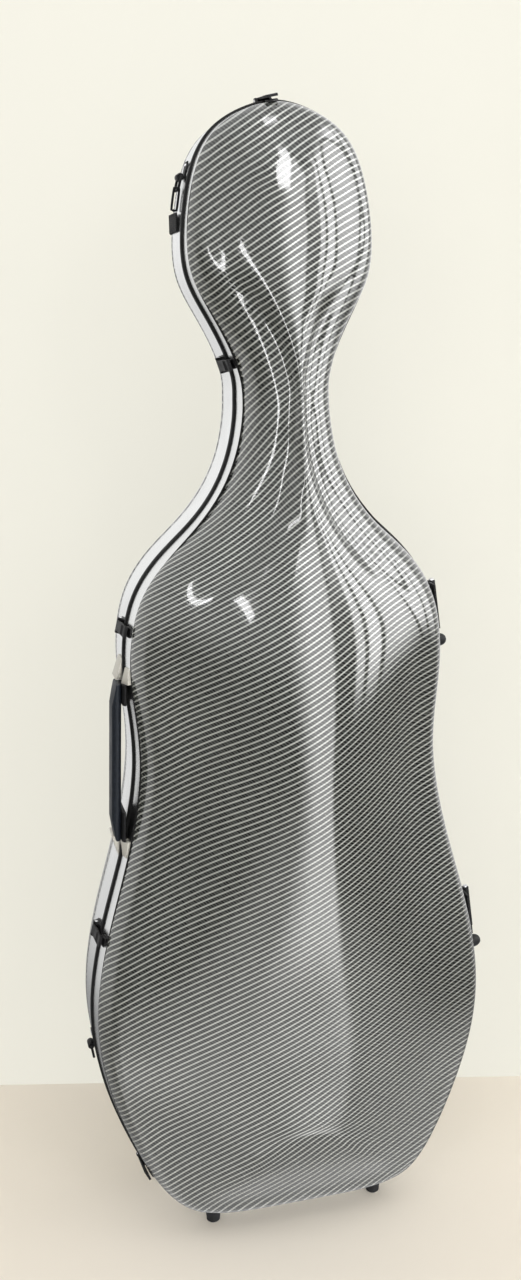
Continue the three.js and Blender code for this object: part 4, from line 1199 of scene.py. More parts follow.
@dataclass
class Studio:
    """A plain pale floor, a pale wall, soft lamps and the room that the lacquer mirrors.

    A reach is where a soft step starts and where it ends, in degrees up from level or round the case.
    """

    floor_half: float = 5.0
    wall_place: tuple = (0.037, 0.272, 0.0)
    wall_turn: float = -0.249
    wall_high: float = 3.2
    floor_color: tuple = (0.82, 0.758, 0.666)
    floor_rough: float = 0.55
    floor_even: float = 0.15
    wall_color: tuple = (0.88, 0.866, 0.778)
    wall_rough: float = 0.8
    wall_even: float = 0.65
    sheet_shine: float = 0.25
    patch_scale: float = 2.5
    patch_reach: tuple = (0.3, 0.7)
    patch_shade: float = 0.97
    ambient: tuple = (0.9, 0.9, 0.895)
    mirror_low: float = 0.2
    mirror_mid: float = 1.05
    mirror_high: float = 1.5
    mid_reach: tuple = (-6, 14)
    high_reach: tuple = (40, 70)
    wall_light: float = 1.02
    wall_low: float = 0.85
    wall_dark: float = 0.3
    floor_behind: float = 1.1
    behind_reach: tuple = (100, 118)
    light_reach: tuple = (-12, 4)
    low_reach: tuple = (-30, -14)
    dark_reach: tuple = (-66, -44)
    streak_top: tuple = (-0.765, -0.66, 1.34)
    streak_foot: tuple = (-0.572, -0.862, 1.06)
    streak_aim: tuple = (-0.06, -0.13, 1.17)
    streak_wide: float = 0.055
    streak_power: float = 0.85
    glows: tuple = (
        Glow(0, 34, -40.5, 50, 4.3, 26.0, 5.0, 10.0),
        Glow(-3.5, 14.5, 19, 62, 12.0, 3.0, 3.0, 6.0, 0.3),
        Glow(-75, -5, -46, -25, 0.85, 20.0, 26.0, 10.0),
        Glow(38, 57, 12, 38, 2.2, 8.0, 4.0, 10.0),
        Glow(53, 59.5, -8, 46, 5.8, 2.5, 1.5, 12.0),
        Glow(62.5, 71.5, -8, 46, 7.0, 1.5, 1.5, 12.0),
        Glow(74.5, 100, -8, 46, 4.8, 1.5, 16.0, 12.0),
        Glow(-150, 150, -110, -36, 1.0, 30.0, 20.0, 18.0),
    )
    lamps: tuple = (
        Lamp("ceiling_lamp", (0.9, -2.7, 2.15), (0.0, 0.0, 1.1), (0.35, 0.9), 7),
        Lamp("window_right", (2.6, -1.1, 1.5), (0.0, 0.0, 0.9), (1.5, 1.9), 7, (0.97, 0.98, 1.0)),
        Lamp("window_left", (-2.3, -2.6, 2.1), (0.0, 0.0, 0.8), (0.7, 1.6), 10),
        Lamp("overhead", (0.0, -0.9, 3.0), (0.0, 0.1, 0.5), (2.4, 1.4), 16, (1.0, 1.0, 1.0)),
    )

    def sheet_material(self, name: str, color: tuple, rough: float, even: float) -> bpy.types.Material:
        """Makes the plain finish of the floor or the wall, which is clear from behind.

        Args:
            name: The material's name.
            color: Its colour.
            rough: Its roughness.
            even: How much of it shows its own colour to the camera whatever light falls on it.

        Returns:
            The finished material.
        """
        finish = Finish(name)
        graph = finish.graph
        patch = graph.band(graph.noise(graph.coordinates(), self.patch_scale, 3.0), *self.patch_reach)
        shade = tuple(self.patch_shade * part for part in color)
        finish.set({
            "Base Color": graph.mix(patch, shade, color),
            "Roughness": rough,
            "Specular IOR Level": self.sheet_shine,
        })
        seen = graph.times(graph.add("LightPath").outputs["Is Camera Ray"], even)
        plain = graph.add("Emission", {"Color": color}).outputs[0]
        both = graph.add("MixShader", {0: seen, 1: finish.shader.outputs[0], 2: plain}).outputs[0]
        clear = graph.add("BsdfTransparent").outputs[0]
        behind = graph.add("NewGeometry").outputs["Backfacing"]
        sheet = graph.add("MixShader", {0: behind, 1: both, 2: clear}).outputs[0]
        graph.put(graph.tree.nodes["Material Output"].inputs["Surface"], sheet)
        return finish.material

    def sheet(self, name: str, matrix: Matrix, material: bpy.types.Material) -> None:
        """Makes a flat sheet that isn't part of the case and doesn't show in the lacquer.

        Args:
            name: The sheet's name.
            matrix: Where it lies, and how large it is.
            material: Its finish.
        """
        bm = bmesh.new()
        bmesh.ops.create_grid(bm, x_segments=1, y_segments=1, size=1.0, matrix=matrix)
        piece = make_object(name, bm)
        piece.data.materials.append(material)
        piece.visible_glossy = False

    def mirrored_room(self, graph: Graph) -> bpy.types.NodeSocket:
        """Makes the room that the lacquer and the metal mirror, with a pale wall behind the case.

        Args:
            graph: The room's node tree.

        Returns:
            How brightly the room shines from each direction.
        """
        direction = graph.add("TexCoord").outputs["Generated"]
        x, y, z = graph.add("SeparateXYZ", {0: direction}).outputs
        round_case = graph.math("DEGREES", graph.math("ARCTAN2", x, graph.times(y, -1.0)))
        upwards = graph.math("DEGREES", graph.math("ARCSINE", z))
        front = self.mirror_low
        levels = (
            (self.mid_reach, self.mirror_mid - self.mirror_low),
            (self.high_reach, self.mirror_high - self.mirror_mid),
        )
        for reach, gain in levels:
            front = graph.math("MULTIPLY_ADD", graph.band(upwards, *reach), gain, front)
        for glow in self.glows:
            share = glow.share(graph, round_case, upwards)
            front = graph.math("MULTIPLY_ADD", share, glow.light, front)
        wall = self.floor_behind
        levels = (
            (self.dark_reach, self.wall_dark - self.floor_behind),
            (self.low_reach, self.wall_low - self.wall_dark),
            (self.light_reach, self.wall_light - self.wall_low),
        )
        for reach, gain in levels:
            wall = graph.math("MULTIPLY_ADD", graph.band(upwards, *reach), gain, wall)
        behind = graph.band(graph.math("ABSOLUTE", round_case), *self.behind_reach)
        return graph.math("MULTIPLY_ADD", behind, graph.minus(wall, front), front)

    def sky(self) -> None:
        """Lights the room evenly from all round, and gives the lacquer its mirrored room."""
        world = bpy.data.worlds.new("room")
        world.use_nodes = True
        graph = Graph(world.node_tree)
        glossy = graph.add("LightPath").outputs["Is Glossy Ray"]
        level = self.mirrored_room(graph)
        room = graph.add("CombineColor", {0: level, 1: level, 2: level}).outputs[0]
        back = world.node_tree.nodes["Background"]
        graph.put(back.inputs["Color"], graph.mix(glossy, self.ambient, room))
        bpy.context.scene.world = world

    def streak(self) -> None:
        """Hangs the narrow lamp at the left that draws a thin line in the lacquer."""
        top, foot = Vector(self.streak_top), Vector(self.streak_foot)
        lamp = area_lamp("streak_left", (self.streak_wide, (top - foot).length), self.streak_power)
        along = (top - foot).normalized()
        face = ((top + foot) / 2 - Vector(self.streak_aim)).normalized()
        across = along.cross(face).normalized()
        turn = Matrix((across, along, across.cross(along))).transposed().to_4x4()
        lamp.matrix_world = Matrix.Translation((top + foot) / 2) @ turn
        lamp.visible_diffuse = False

    def build(self) -> None:
        """Builds the stage, the lamps and the room's light."""
        floor = self.sheet_material("pale_floor", self.floor_color, self.floor_rough, self.floor_even)
        wall = self.sheet_material("pale_wall", self.wall_color, self.wall_rough, self.wall_even)
        self.sheet("floor", Matrix.Diagonal((self.floor_half, self.floor_half, 1, 1)), floor)
        high = self.wall_high / 2
        upright = Matrix.Rotation(math.radians(90), 4, "X")
        turn = Matrix.Rotation(self.wall_turn, 4, "Z")
        place = Matrix.Translation(Vector(self.wall_place) + Vector((0, 0, high)))
        size = Matrix.Diagonal((self.floor_half, high, 1, 1))
        self.sheet("wall", place @ turn @ upright @ size, wall)
        for lamp in self.lamps:
            lamp.build()
        self.streak()
        self.sky()


def soft_rise(value: float, width: float) -> float:
    """Returns a value where it is well above 0, and 0 well below, with a soft bend between."""
    return width * math.log1p(math.exp(value / width))


@dataclass
class Shells:
    """The two woven shells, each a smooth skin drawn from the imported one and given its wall."""

    workshop: Workshop
    wall: float = 0.0039
    # Radius of the black cord laid along the lid shell's edge as a painted shadow line.
    shadow_cord: float = 0.0013
    levels: int = 3
    keep: float = 0.6
    seam_y: float = 0.0099
    face_deep: float = 0.11
    edge_soft: float = 0.012
    ridge_x: float = 0.045
    ridge_soft: float = 0.015
    ease: float = 0.32
    bend_x: float = 0.01
    bend_soft: float = 0.03
    bend_left: float = 0.23
    bend_right: float = 0.46
    bend_top: float = 1.0
    bend_reach: float = 0.35
    neck_z: float = 0.95
    neck_reach: float = 0.09
    neck_pull: float = 0.22
    neck_stretch: float = 0.16
    fair_rounds: int = 10
    fair_in: float = 0.5
    fair_out: float = -0.53
    fair_reach: float = 0.0025

    def outer_skin(self, bm: BMesh) -> None:
        """Deletes all of a shell but its outer skin.

        Args:
            bm: The shell's mesh.
        """
        top = max(bm.faces, key=lambda face: abs(face.calc_center_median().y))
        sharp = set(sharp_edges(bm, EDGE_ANGLE))
        kept, open_faces = {top}, [top]
        while open_faces:
            face = open_faces.pop()
            for edge in face.edges:
                for other in edge.link_faces:
                    if edge not in sharp and other not in kept:
                        kept.add(other)
                        open_faces.append(other)
        spare = [face for face in bm.faces if face not in kept]
        bmesh.ops.delete(bm, geom=spare, context="FACES")

    def fair(self, bm: BMesh) -> None:
        """Takes small waves out of a skin without shrinking it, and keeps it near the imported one.

        Args:
            bm: The skin, whose edge and the next row stay.
        """
        start = {vert: vert.co.copy() for vert in bm.verts}
        edge = {vert for vert in bm.verts if vert.is_boundary}
        edge |= {each.other_vert(vert) for vert in edge for each in vert.link_edges}
        free = [vert for vert in bm.verts if vert not in edge]
        for turn in range(2 * self.fair_rounds):
            share = self.fair_out if turn % 2 else self.fair_in
            moves = {}
            for vert in free:
                near = [each.other_vert(vert).co for each in vert.link_edges]
                moves[vert] = (sum(near, Vector()) / len(near) - vert.co) * share
            for vert, move in moves.items():
                vert.co += move
        for vert in free:
            move = vert.co - start[vert]
            vert.co = start[vert] + move * min(1.0, self.fair_reach / max(move.length, LEAST_LENGTH))

    def cloth_place(self, place: Vector) -> tuple[float, float]:
        """Finds where a point of a skin lies on the flat cloth.

        The cloth lies straight on over the face. Down the walls its lines run on as a viewer in
        front sees them. It lies wider beyond the ridge and round the neck, and its lines climb more
        steeply towards the right of the body.

        Args:
            place: The point.

        Returns:
            How far it lies across and up the cloth.
        """
        eye = Vector(Viewpoint.place)
        down = soft_rise(self.face_deep - abs(place.y - self.seam_y), self.edge_soft) / -eye.y
        across = place.x - (place.x - eye.x) * down
        up = place.z - (place.z - eye.z) * down
        across -= self.ease * soft_rise(across - self.ridge_x, self.ridge_soft)
        bend = self.bend_right * soft_rise(across - self.bend_x, self.bend_soft) - self.bend_left * across
        low = min(max((self.bend_top - up) / self.bend_reach, 0.0), 1.0)
        bend *= low * low * (3 - 2 * low)
        neck = (up - self.neck_z) / self.neck_reach
        pull = self.neck_pull * math.exp(-neck * neck)
        stretch = self.neck_stretch * self.neck_reach * math.tanh(neck)
        return across, up - stretch - pull * across - bend

    def lay_cloth(self, bm: BMesh) -> None:
        """Lays flat cloth coordinates over a skin.

        Args:
            bm: The skin.
        """
        layer = bm.loops.layers.uv.new("cloth")
        for face in bm.faces:
            for loop in face.loops:
                loop[layer].uv = self.cloth_place(loop.vert.co)

    def edge_line(self, bm: BMesh) -> list[Vector]:
        """Follows a skin's edge.

        Args:
            bm: The skin.

        Returns:
            The edge's points, in order.
        """
        first = next(vert for vert in bm.verts if vert.is_boundary)
        line, last = [first], None
        while True:
            sides = [edge.other_vert(line[-1]) for edge in line[-1].link_edges if edge.is_boundary]
            following = next(vert for vert in sides if vert != last)
            if following == first:
                return [vert.co.copy() for vert in line]
            last = line[-1]
            line.append(following)

    def build_shadow_cord(self, line: list[Vector], name: str, body: str) -> None:
        """Lays a black cord along a shell's edge. It is painted shade that draws the shadow line where the
        shell meets its rim.

        Args:
            line: The edge's points.
            name: The cord's name.
            body: The body that it rides on.
        """
        cord = make_object(name, tube_round(line, self.shadow_cord))
        add_subdivision(cord, 2)
        settle(cord)
        # The painted shadow line takes the seal's black rubber finish.
        self.workshop.dress(cord, Slot.SEAL, body)

    def build_shell(self, node: str, name: str, shadow_cord: bool) -> None:
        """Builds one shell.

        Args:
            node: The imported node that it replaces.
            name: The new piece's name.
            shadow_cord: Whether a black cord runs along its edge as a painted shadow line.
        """
        bm = merged_copy(node)
        to_quads(bm)
        self.outer_skin(bm)
        self.fair(bm)
        bm.normal_update()
        self.lay_cloth(bm)
        # The black cord along the shell's edge is painted shade: it draws the shadow line between shell and
        # rim.
        if shadow_cord:
            self.build_shadow_cord(self.edge_line(bm), name + "_shadow_cord", self.workshop.body_of(node))
        hold_shape(bm, set(), self.keep)
        piece = make_object(name, bm)
        add_subdivision(piece, self.levels)
        thick = piece.modifiers.new("wall", "SOLIDIFY")
        thick.thickness = self.wall
        thick.offset = -1.0
        settle(piece)
        self.workshop.dress(piece, Slot.CARBON, self.workshop.body_of(node), node)

    def build(self) -> None:
        """Builds the back and the lid."""
        self.build_shell("back_shell", "back_woven_shell", False)
        # True lays the painted shadow cord along the lid shell's edge.
        self.build_shell("lid_shell", "lid_woven_shell", True)


@dataclass
class Rims:
    """The aluminium extrusions and the rubber seal between them."""

    workshop: Workshop
    levels: int = 3
    keep: float = 0.6
    edge: float = 0.0006
    lip_edge: float = 0.0014
    lip: float = 0.0016

    def build_ring(self, node: str, name: str, slot: Slot, edge: float, grow: float = 0.0) -> None:
        """Builds one closed section that runs round the case.

        Args:
            node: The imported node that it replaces.
            name: The new piece's name.
            slot: Its finish.
            edge: How far its long edges are rounded.
            grow: How far it swells out over its neighbours.
        """
        bm = merged_copy(node)
        to_quads(bm)
        bm.normal_update()
        for vert in bm.verts:
            vert.co += vert.normal * grow
        corners = sharp_edges(bm)
        crease(bm, corners)
        hold_shape(bm, set(corners), self.keep)
        piece = make_object(name, bm)
        add_subdivision(piece, self.levels)
        add_rounding(piece, edge, clamp=False)
        settle(piece)
        self.workshop.dress(piece, slot, self.workshop.body_of(node), node)

    def build(self) -> None:
        """Builds both rims and the seal."""
        self.build_ring("back_rim", "back_rim_extrusion", Slot.RIM, self.edge)
        self.build_ring("lid_rim", "lid_rim_extrusion", Slot.RIM, self.edge)
        self.build_ring("rim_seal", "rim_seal_rubber", Slot.SEAL, self.lip_edge, self.lip)


@dataclass
class Linings:
    """The plush-covered foam inside each half, with a piping along its edge."""

    workshop: Workshop
    levels: int = 2
    keep: float = 0.6
    edge: float = 0.002
    piping: float = 0.0016
    piping_out: float = 0.2
    sink: float = 0.0014
    core_low: float = 0.25
    core_high: float = 1.15
    level: float = 1e-4

    def edge_loop(self, bm: BMesh, facing_y: float) -> list[Vector]:
        """Finds the lining's inner edge at the seam.

        Args:
            bm: The lining.
            facing_y: 1 for the half whose open side faces +Y, and -1 for the other.

        Returns:
            The edge's points, in order.
        """
        heights = {face: face.calc_center_median().y * facing_y for face in bm.faces}
        seam = max(heights.values())
        strip = {face for face, height in heights.items() if abs(height - seam) < self.level}
        edges = dict.fromkeys(
            edge for edge in bm.edges if sum(face in strip for face in edge.link_faces) == 1
        )
        start = min(edges, key=lambda edge: abs(edge.verts[0].co.x) + edge.verts[0].co.z)
        loops = []
        while edges:
            edge = start if start in edges else next(iter(edges))
            del edges[edge]
            line = [edge.verts[0], edge.verts[1]]
            while True:
                following = next((e for e in line[-1].link_edges if e in edges), None)
                if following is None:
                    break
                del edges[following]
                line.append(following.other_vert(line[-1]))
            loops.append([vert.co.copy() for vert in line[:-1]])
        return min(loops, key=lambda line: sum((a - b).length for a, b in zip(line, line[1:])))

    def build_piping(self, line: list[Vector], name: str, body: str, facing_y: float) -> None:
        """Lays the piping along a lining's edge.

        Args:
            line: The edge's points.
            name: The piping's name.
            body: The body that it rides on.
            facing_y: 1 for the half whose open side faces +Y, and -1 for the other.
        """
        points = []
        sunk = Vector((0, facing_y * self.sink, 0))
        for index, point in enumerate(line):
            along = (line[(index + 1) % len(line)] - line[index - 1]).normalized()
            out = along.cross(Vector((0, facing_y, 0)))
            centre = Vector((0, point.y, min(max(point.z, self.core_low), self.core_high)))
            if out.dot(centre - point) < 0:
                out.negate()
            points.append(point + out * self.piping * self.piping_out - sunk)
        cord = make_object(name, tube_round(points, self.piping))
        add_subdivision(cord, 1)
        settle(cord)
        self.workshop.dress(cord, Slot.PLUSH, body)

    def build_lining(self, node: str, name: str, facing_y: float) -> None:
        """Builds one lining and its piping.

        Args:
            node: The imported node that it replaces.
            name: The new piece's name.
            facing_y: 1 for the half whose open side faces +Y, and -1 for the other.
        """
        bm = merged_copy(node)
        to_quads(bm)
        line = self.edge_loop(bm, facing_y)
        corners = sharp_edges(bm, EDGE_ANGLE)
        crease(bm, corners)
        hold_shape(bm, set(corners), self.keep)
        piece = make_object(name, bm)
        add_subdivision(piece, self.levels)
        add_rounding(piece, self.edge)
        settle(piece)
        body = self.workshop.body_of(node)
        self.workshop.dress(piece, Slot.PLUSH, body, node)
        self.build_piping(line, name + "_piping", body, facing_y)

    def build(self) -> None:
        """Builds both linings."""
        self.build_lining("back_lining", "back_plush_lining", -1.0)
        self.build_lining("lid_lining", "lid_plush_lining", 1.0)


@dataclass
class Latches:
    """The over-centre latches: a base with ears, a lever on a pin and a catch."""

    workshop: Workshop
    names: tuple = ("neck", "shoulder", "lower_bout", "corner", "crown")
    edge: float = 0.0005
    lever_edge: float = 0.0007
    rivet_radius: float = 0.0016
    rivet_high: float = 0.0007
    rivet_back: float = 0.0085
    rivet_spread: float = 0.0048
    base_out: float = -0.0036
    ridge_radius: float = 0.0006
    ridge_half: float = 0.0055
    ridge_first: float = 0.03
    ridge_gap: float = 0.0024
    ridge_count: int = 4
    lever_out: float = 0.0032
    lever_lean: float = 0.1
    pin_reach: float = 0.009
    pin_radius: float = 0.0022
    pin_high: float = 0.0008

    def ridges(self, seat: Matrix) -> BMesh:
        """Makes the thumb ridges across a lever's free end.

        Args:
            seat: The frame of the lever's joint.

        Returns:
            The mesh of all the ridges.
        """
        row = bmesh.new()
        for step in range(self.ridge_count):
            down = self.ridge_first - step * self.ridge_gap
            out = self.lever_out - self.lever_lean * down
            ends = [Vector((out, -down, side * self.ridge_half)) for side in (-1, 1)]
            bar = tube_round(ends, self.ridge_radius, 8, closed=False)
            join(row, bar, seat)
            bar.free()
        return row

    def build_latch(self, name: str) -> None:
        """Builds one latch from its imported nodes, with its pin ends, rivets and ridges.

        Args:
            name: Where the latch sits.
        """
        shop = self.workshop
        joint = shop.joint(f"latch_{name}_turn")
        seat = frame_along(joint["axis"], joint["pos_m"])
        shop.rounded(f"latch_base_{name}", f"latch_{name}_base", Slot.BLACK_METAL, self.edge)
        shop.rounded(f"latch_lever_{name}", f"latch_{name}_lever", Slot.BLACK_METAL, self.lever_edge, 3)
        shop.rounded(f"latch_catch_{name}", f"latch_{name}_catch", Slot.BLACK_METAL, self.edge)
        face_out = Matrix.Rotation(math.radians(90), 4, "Y")
        rivets, ends = [], []
        for side in (-1, 1):
            place = Matrix.Translation((self.base_out, self.rivet_back, side * self.rivet_spread))
            rivets.append(seat @ place @ face_out)
            turn = Matrix.Rotation(math.pi if side < 0 else 0, 4, "Y")
            ends.append(seat @ turn @ Matrix.Translation((0, 0, self.pin_reach)))
        heads = rivet_row(rivets, self.rivet_radius, self.rivet_high)
        shop.finish(f"latch_{name}_rivets", heads, Slot.STEEL, "back")
        pins = rivet_row(ends, self.pin_radius, self.pin_high)
        shop.finish(f"latch_{name}_pin_ends", pins, Slot.STEEL, "back")
        shop.finish(f"latch_{name}_ridges", self.ridges(seat), Slot.BLACK_METAL, f"lever_{name}")

    def build(self) -> None:
        """Builds every latch."""
        for name in self.names:
            self.build_latch(name)


@dataclass
class Hinges:
    """Two butt hinges on the hidden side, with riveted leaves."""

    workshop: Workshop
    edge: float = 0.0004
    rivet_radius: float = 0.0021
    rivet_high: float = 0.001
    back_row: float = 0.0175
    lid_row: float = -0.0135
    spread: float = 0.019
    clear: float = 0.03

    def build_hinge(self, name: str) -> None:
        """Builds one hinge and its rivets.

        Args:
            name: Where the hinge sits.
        """
        shop = self.workshop
        for part in ("leaf_back", "leaf_lid"):
            shop.rounded(f"hinge_{part}_{name}", f"hinge_{name}_{part}", Slot.BLACK_METAL, self.edge)
        shop.rounded(f"hinge_pin_{name}", f"hinge_{name}_pin", Slot.STEEL, self.edge)
        joint = shop.joint("lid_hinge")
        low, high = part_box(f"hinge_pin_{name}")
        along, start = Vector(joint["axis"]), Vector(joint["pos_m"])
        centre = start + along * ((low + high) / 2 - start).dot(along)
        out = along.cross(Vector((0, 1, 0)))
        out = out if out.x > 0 else -out
        for part, row in (("back", self.back_row), ("lid", self.lid_row)):
            leaf = surface_of(bpy.data.objects[f"hinge_{name}_leaf_{part}"])
            places = []
            for step in (-1, 0, 1):
                above = centre + Vector((0, row, 0)) + along * step * self.spread + out * self.clear
                hit = leaf.ray_cast(above, -out)[0]
                if hit is not None:
                    places.append(Matrix.Translation(hit) @ facing(out))
            heads = rivet_row(places, self.rivet_radius, self.rivet_high)
            shop.finish(f"hinge_{name}_rivets_{part}", heads, Slot.STEEL, part)

    def build(self) -> None:
        """Builds both hinges."""
        for name in ("upper", "lower"):
            self.build_hinge(name)


@dataclass
class Handle:
    """The carrying handle: a soft grip on two blocks, between cast ramps."""

    workshop: Workshop
    grip_edge: float = 0.0022
    block_edge: float = 0.0012
    ramp_edge: float = 0.0007
    ramp_long: float = 0.019
    ramp_high: float = 0.0075
    ramp_tip: float = 0.0015
    ramp_near: float = 0.006
    ramp_far: float = 0.0185
    ramp_far_share: float = 0.45
    ramp_sunk: float = 0.001
    clear: float = 0.05

    def lid_ramp(self, name: str, node: str, direction: float) -> None:
        """Builds the small ramp on the lid's rim that carries on a cast one over the seam.

        Args:
            name: The new piece's name.
            node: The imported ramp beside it.
            direction: 1 where the ramp falls away upwards, -1 where it falls away downwards.
        """
        low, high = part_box(node)
        start = low.z if direction > 0 else high.z
        rim = surface_of(bpy.data.objects["lid_rim_extrusion"])
        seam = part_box("rim_seal")[0].y
        bm = bmesh.new()
        bmesh.ops.create_cube(bm, size=1.0)
        for vert in bm.verts:
            at_tip, near_seam, outside = vert.co.z > 0, vert.co.y > 0, vert.co.x < 0
            z = start + direction * (self.ramp_long if at_tip else 0.0)
            y = seam - (self.ramp_near if near_seam else self.ramp_far)
            hit = rim.ray_cast(Vector((low.x - self.clear, y, z)), Vector((1, 0, 0)))[0]
            high_end = self.ramp_high * (1.0 if near_seam else self.ramp_far_share)
            lift = (self.ramp_tip if at_tip else high_end) if outside else -self.ramp_sunk
            vert.co = Vector((hit.x - lift, y, z))
        bmesh.ops.recalc_face_normals(bm, faces=bm.faces)
        bevel_corners(bm, self.ramp_edge, 2)
        self.workshop.finish(name, bm, Slot.CAST, "lid")

    def build(self) -> None:
        """Builds the grip, its blocks and the ramps."""
        shop = self.workshop
        shop.rounded("handle_grip", "handle_soft_grip", Slot.GRIP, self.grip_edge, 4)
        for end in ("top", "foot"):
            shop.rounded(f"handle_block_{end}", f"handle_{end}_block", Slot.RUBBER, self.block_edge, 3)
            shop.rounded(f"handle_ramp_{end}", f"handle_{end}_ramp", Slot.CAST, self.ramp_edge, 3)
        self.lid_ramp("handle_top_lid_ramp", "handle_ramp_top", 1.0)
        self.lid_ramp("handle_foot_lid_ramp", "handle_ramp_foot", -1.0)


@dataclass
class Feet:
    """The turned rubber feet and the domed side bumpers."""

    workshop: Workshop
    sides: int = 40
    toe: float = 0.0012
    screw: float = 0.0028
    recess: float = 0.0015
    sole_share: float = 0.85
    waist_shares: tuple = (0.88, 0.3)
    neck_shares: tuple = (0.95, 0.62)
    collar_share: float = 0.72
    collar_edge: float = 0.0008
    flange: float = 0.0016
    flange_share: float = 0.7
    flange_edge: float = 0.0004
    dome_share: float = 0.94
    dome_foot: float = 0.0006
    dome_steps: int = 9
    dome_power: float = 0.8

    def foot(self, node: str) -> None:
        """Turns one foot, with a rounded toe and a screw recess underneath.

        Args:
            node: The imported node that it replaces.
        """
        low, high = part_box(node)
        centre = (low + high) / 2
        radius = (high.x - low.x) / 2
        tall = high.z - low.z
        sole = self.sole_share * radius
        profile = [
            (0, self.recess),
            (self.screw, self.recess),
            (self.screw, 0),
            (sole - self.toe, 0),
            (sole, self.toe),
            *((across * radius, up * tall) for across, up in (self.waist_shares, self.neck_shares)),
            (radius, self.collar_share * tall),
            (radius, tall - self.collar_edge),
            (radius - self.collar_edge, tall),
            (0, tall),
        ]
        bm = spun(profile, self.sides)
        bmesh.ops.translate(bm, verts=bm.verts, vec=(centre.x, centre.y, low.z))
        self.workshop.finish(node + "_rubber", bm, Slot.RUBBER, self.workshop.body_of(node), node)

    def bumper(self, node: str) -> None:
        """Turns one domed bumper, with a flange at its seat.

        Args:
            node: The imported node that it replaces.
        """
        packed = merged_copy(node)
        seat = flat_seat(packed)
        places = [seat.inverted() @ vert.co for vert in packed.verts]
        packed.free()
        tall = max(place.z for place in places)
        radius = max(place.xy.length for place in places)
        dome = radius * self.dome_share
        rise = tall - self.flange - self.dome_foot
        profile = [
            (0, 0),
            (radius, 0),
            (radius, self.flange * self.flange_share),
            (radius - self.flange_edge, self.flange),
            (dome, self.flange),
        ]
        for step in range(self.dome_steps + 1):
            angle = step / self.dome_steps * math.pi / 2
            across = dome * math.cos(angle) ** self.dome_power if step < self.dome_steps else 0.0
            profile.append((across, self.flange + self.dome_foot + rise * math.sin(angle)))
        bm = spun(profile, self.sides)
        bmesh.ops.transform(bm, matrix=seat, verts=bm.verts)
        self.workshop.finish(node + "_dome", bm, Slot.RUBBER, self.workshop.body_of(node), node)

    def build(self) -> None:
        """Builds the four feet and the two bumpers."""
        for half in ("lid", "back"):
            for hand in ("left", "right"):
                self.foot(f"{half}_foot_{hand}")
        for name in ("upper", "lower"):
            self.bumper(f"side_bumper_{name}")


@dataclass
class StrapFittings:
    """Brackets, rings and snap hooks on the back rim, and the webbing round the head."""

    workshop: Workshop
    edge: float = 0.0004
    rivet_radius: float = 0.0017
    rivet_high: float = 0.0008
    rivet_spread: float = 0.0036
    rivet_down: float = 0.0042
    strap_edge: float = 0.0005
    strap_flat: float = math.radians(0.5)
    strap_corner: float = math.radians(60)
    stitch_long: float = 0.003
    stitch_radius: float = 0.00035
    stitch_first: float = 0.003
    stitch_gap: float = 0.0045
    stitch_count: int = 9
    stitch_in: float = 0.0025

    def wire(self, node: str, name: str) -> None:
        """Builds a round wire loop from its packed one.

        Args:
            node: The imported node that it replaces.
            name: The new piece's name.
        """
        bm = merged_copy(node)
        to_quads(bm)
        hold_shape(bm, set(), 1.0)
        piece = make_object(name, bm)
        add_subdivision(piece, 2)
        settle(piece)
        self.workshop.dress(piece, Slot.BLACK_METAL, self.workshop.body_of(node), node)

    def bracket(self, place: str) -> None:
        """Builds a bracket with two rivets in its plate.

        Args:
            place: Where the bracket sits.
        """
        shop = self.workshop
        node = f"strap_bracket_{place}"
        piece = shop.rounded(node, f"strap_{place}_bracket", Slot.BLACK_METAL, self.edge)
        low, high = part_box(node)
        middle = (low + high) / 2
        side = 1.0 if middle.x > 0 else -1.0
        plate = surface_of(piece)
        places = []
        for deep in (-self.rivet_spread, self.rivet_spread):
            start = Vector((side, middle.y + deep, high.z - self.rivet_down))
            hit = plate.ray_cast(start, Vector((-side, 0, 0)))
            if hit[0] is not None:
                places.append(Matrix.Translation(hit[0]) @ facing(hit[1]))
        heads = rivet_row(places, self.rivet_radius, self.rivet_high)
        shop.finish(f"strap_{place}_rivets", heads, Slot.STEEL, "back")

    def stitches(self, strap: bpy.types.Object) -> BMesh:
        """Sews both edges of both ends of the strap.

        Args:
            strap: The finished strap.

        Returns:
            The mesh of all the stitches.
        """
        low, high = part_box("head_strap")
        webbing = surface_of(strap)
        row = bmesh.new()
        stitch = rivet(self.stitch_radius, self.stitch_long, 6)
        for side in (-1.0, 1.0):
            for level in (low.z + self.stitch_in, high.z - self.stitch_in):
                for step in range(self.stitch_count):
                    y = low.y + self.stitch_first + step * self.stitch_gap
                    hit = webbing.ray_cast(Vector((side, y, level)), Vector((-side, 0, 0)))
                    if hit[0] is None:
                        continue
                    along = hit[1].cross(Vector((0, 0, 1))).normalized()
                    start = hit[0] - along * self.stitch_long / 2
                    join(row, stitch, Matrix.Translation(start) @ facing(along))
        stitch.free()
        return row

    def strap(self) -> None:
        """Builds the webbing strap, smooth round the head, and its rows of stitches."""
        bm = merged_copy("head_strap")
        bmesh.ops.dissolve_limit(bm, angle_limit=self.strap_flat, verts=bm.verts, edges=bm.edges)
        bevel_corners(bm, self.strap_edge, 2, self.strap_corner)
        strap = self.workshop.finish("head_webbing_strap", bm, Slot.WEBBING, "back", "head_strap")
        self.workshop.finish("head_strap_stitches", self.stitches(strap), Slot.WEBBING, "back")

    def build(self) -> None:
        """Builds all the fittings."""
        for level in ("upper", "lower"):
            for hand in ("left", "right"):
                self.bracket(f"{level}_{hand}")
                self.wire(f"strap_ring_{level}_{hand}", f"strap_{level}_{hand}_ring")
        for hand in ("left", "right"):
            self.wire(f"snap_hook_{hand}", f"snap_{hand}_hook")
        self.strap()


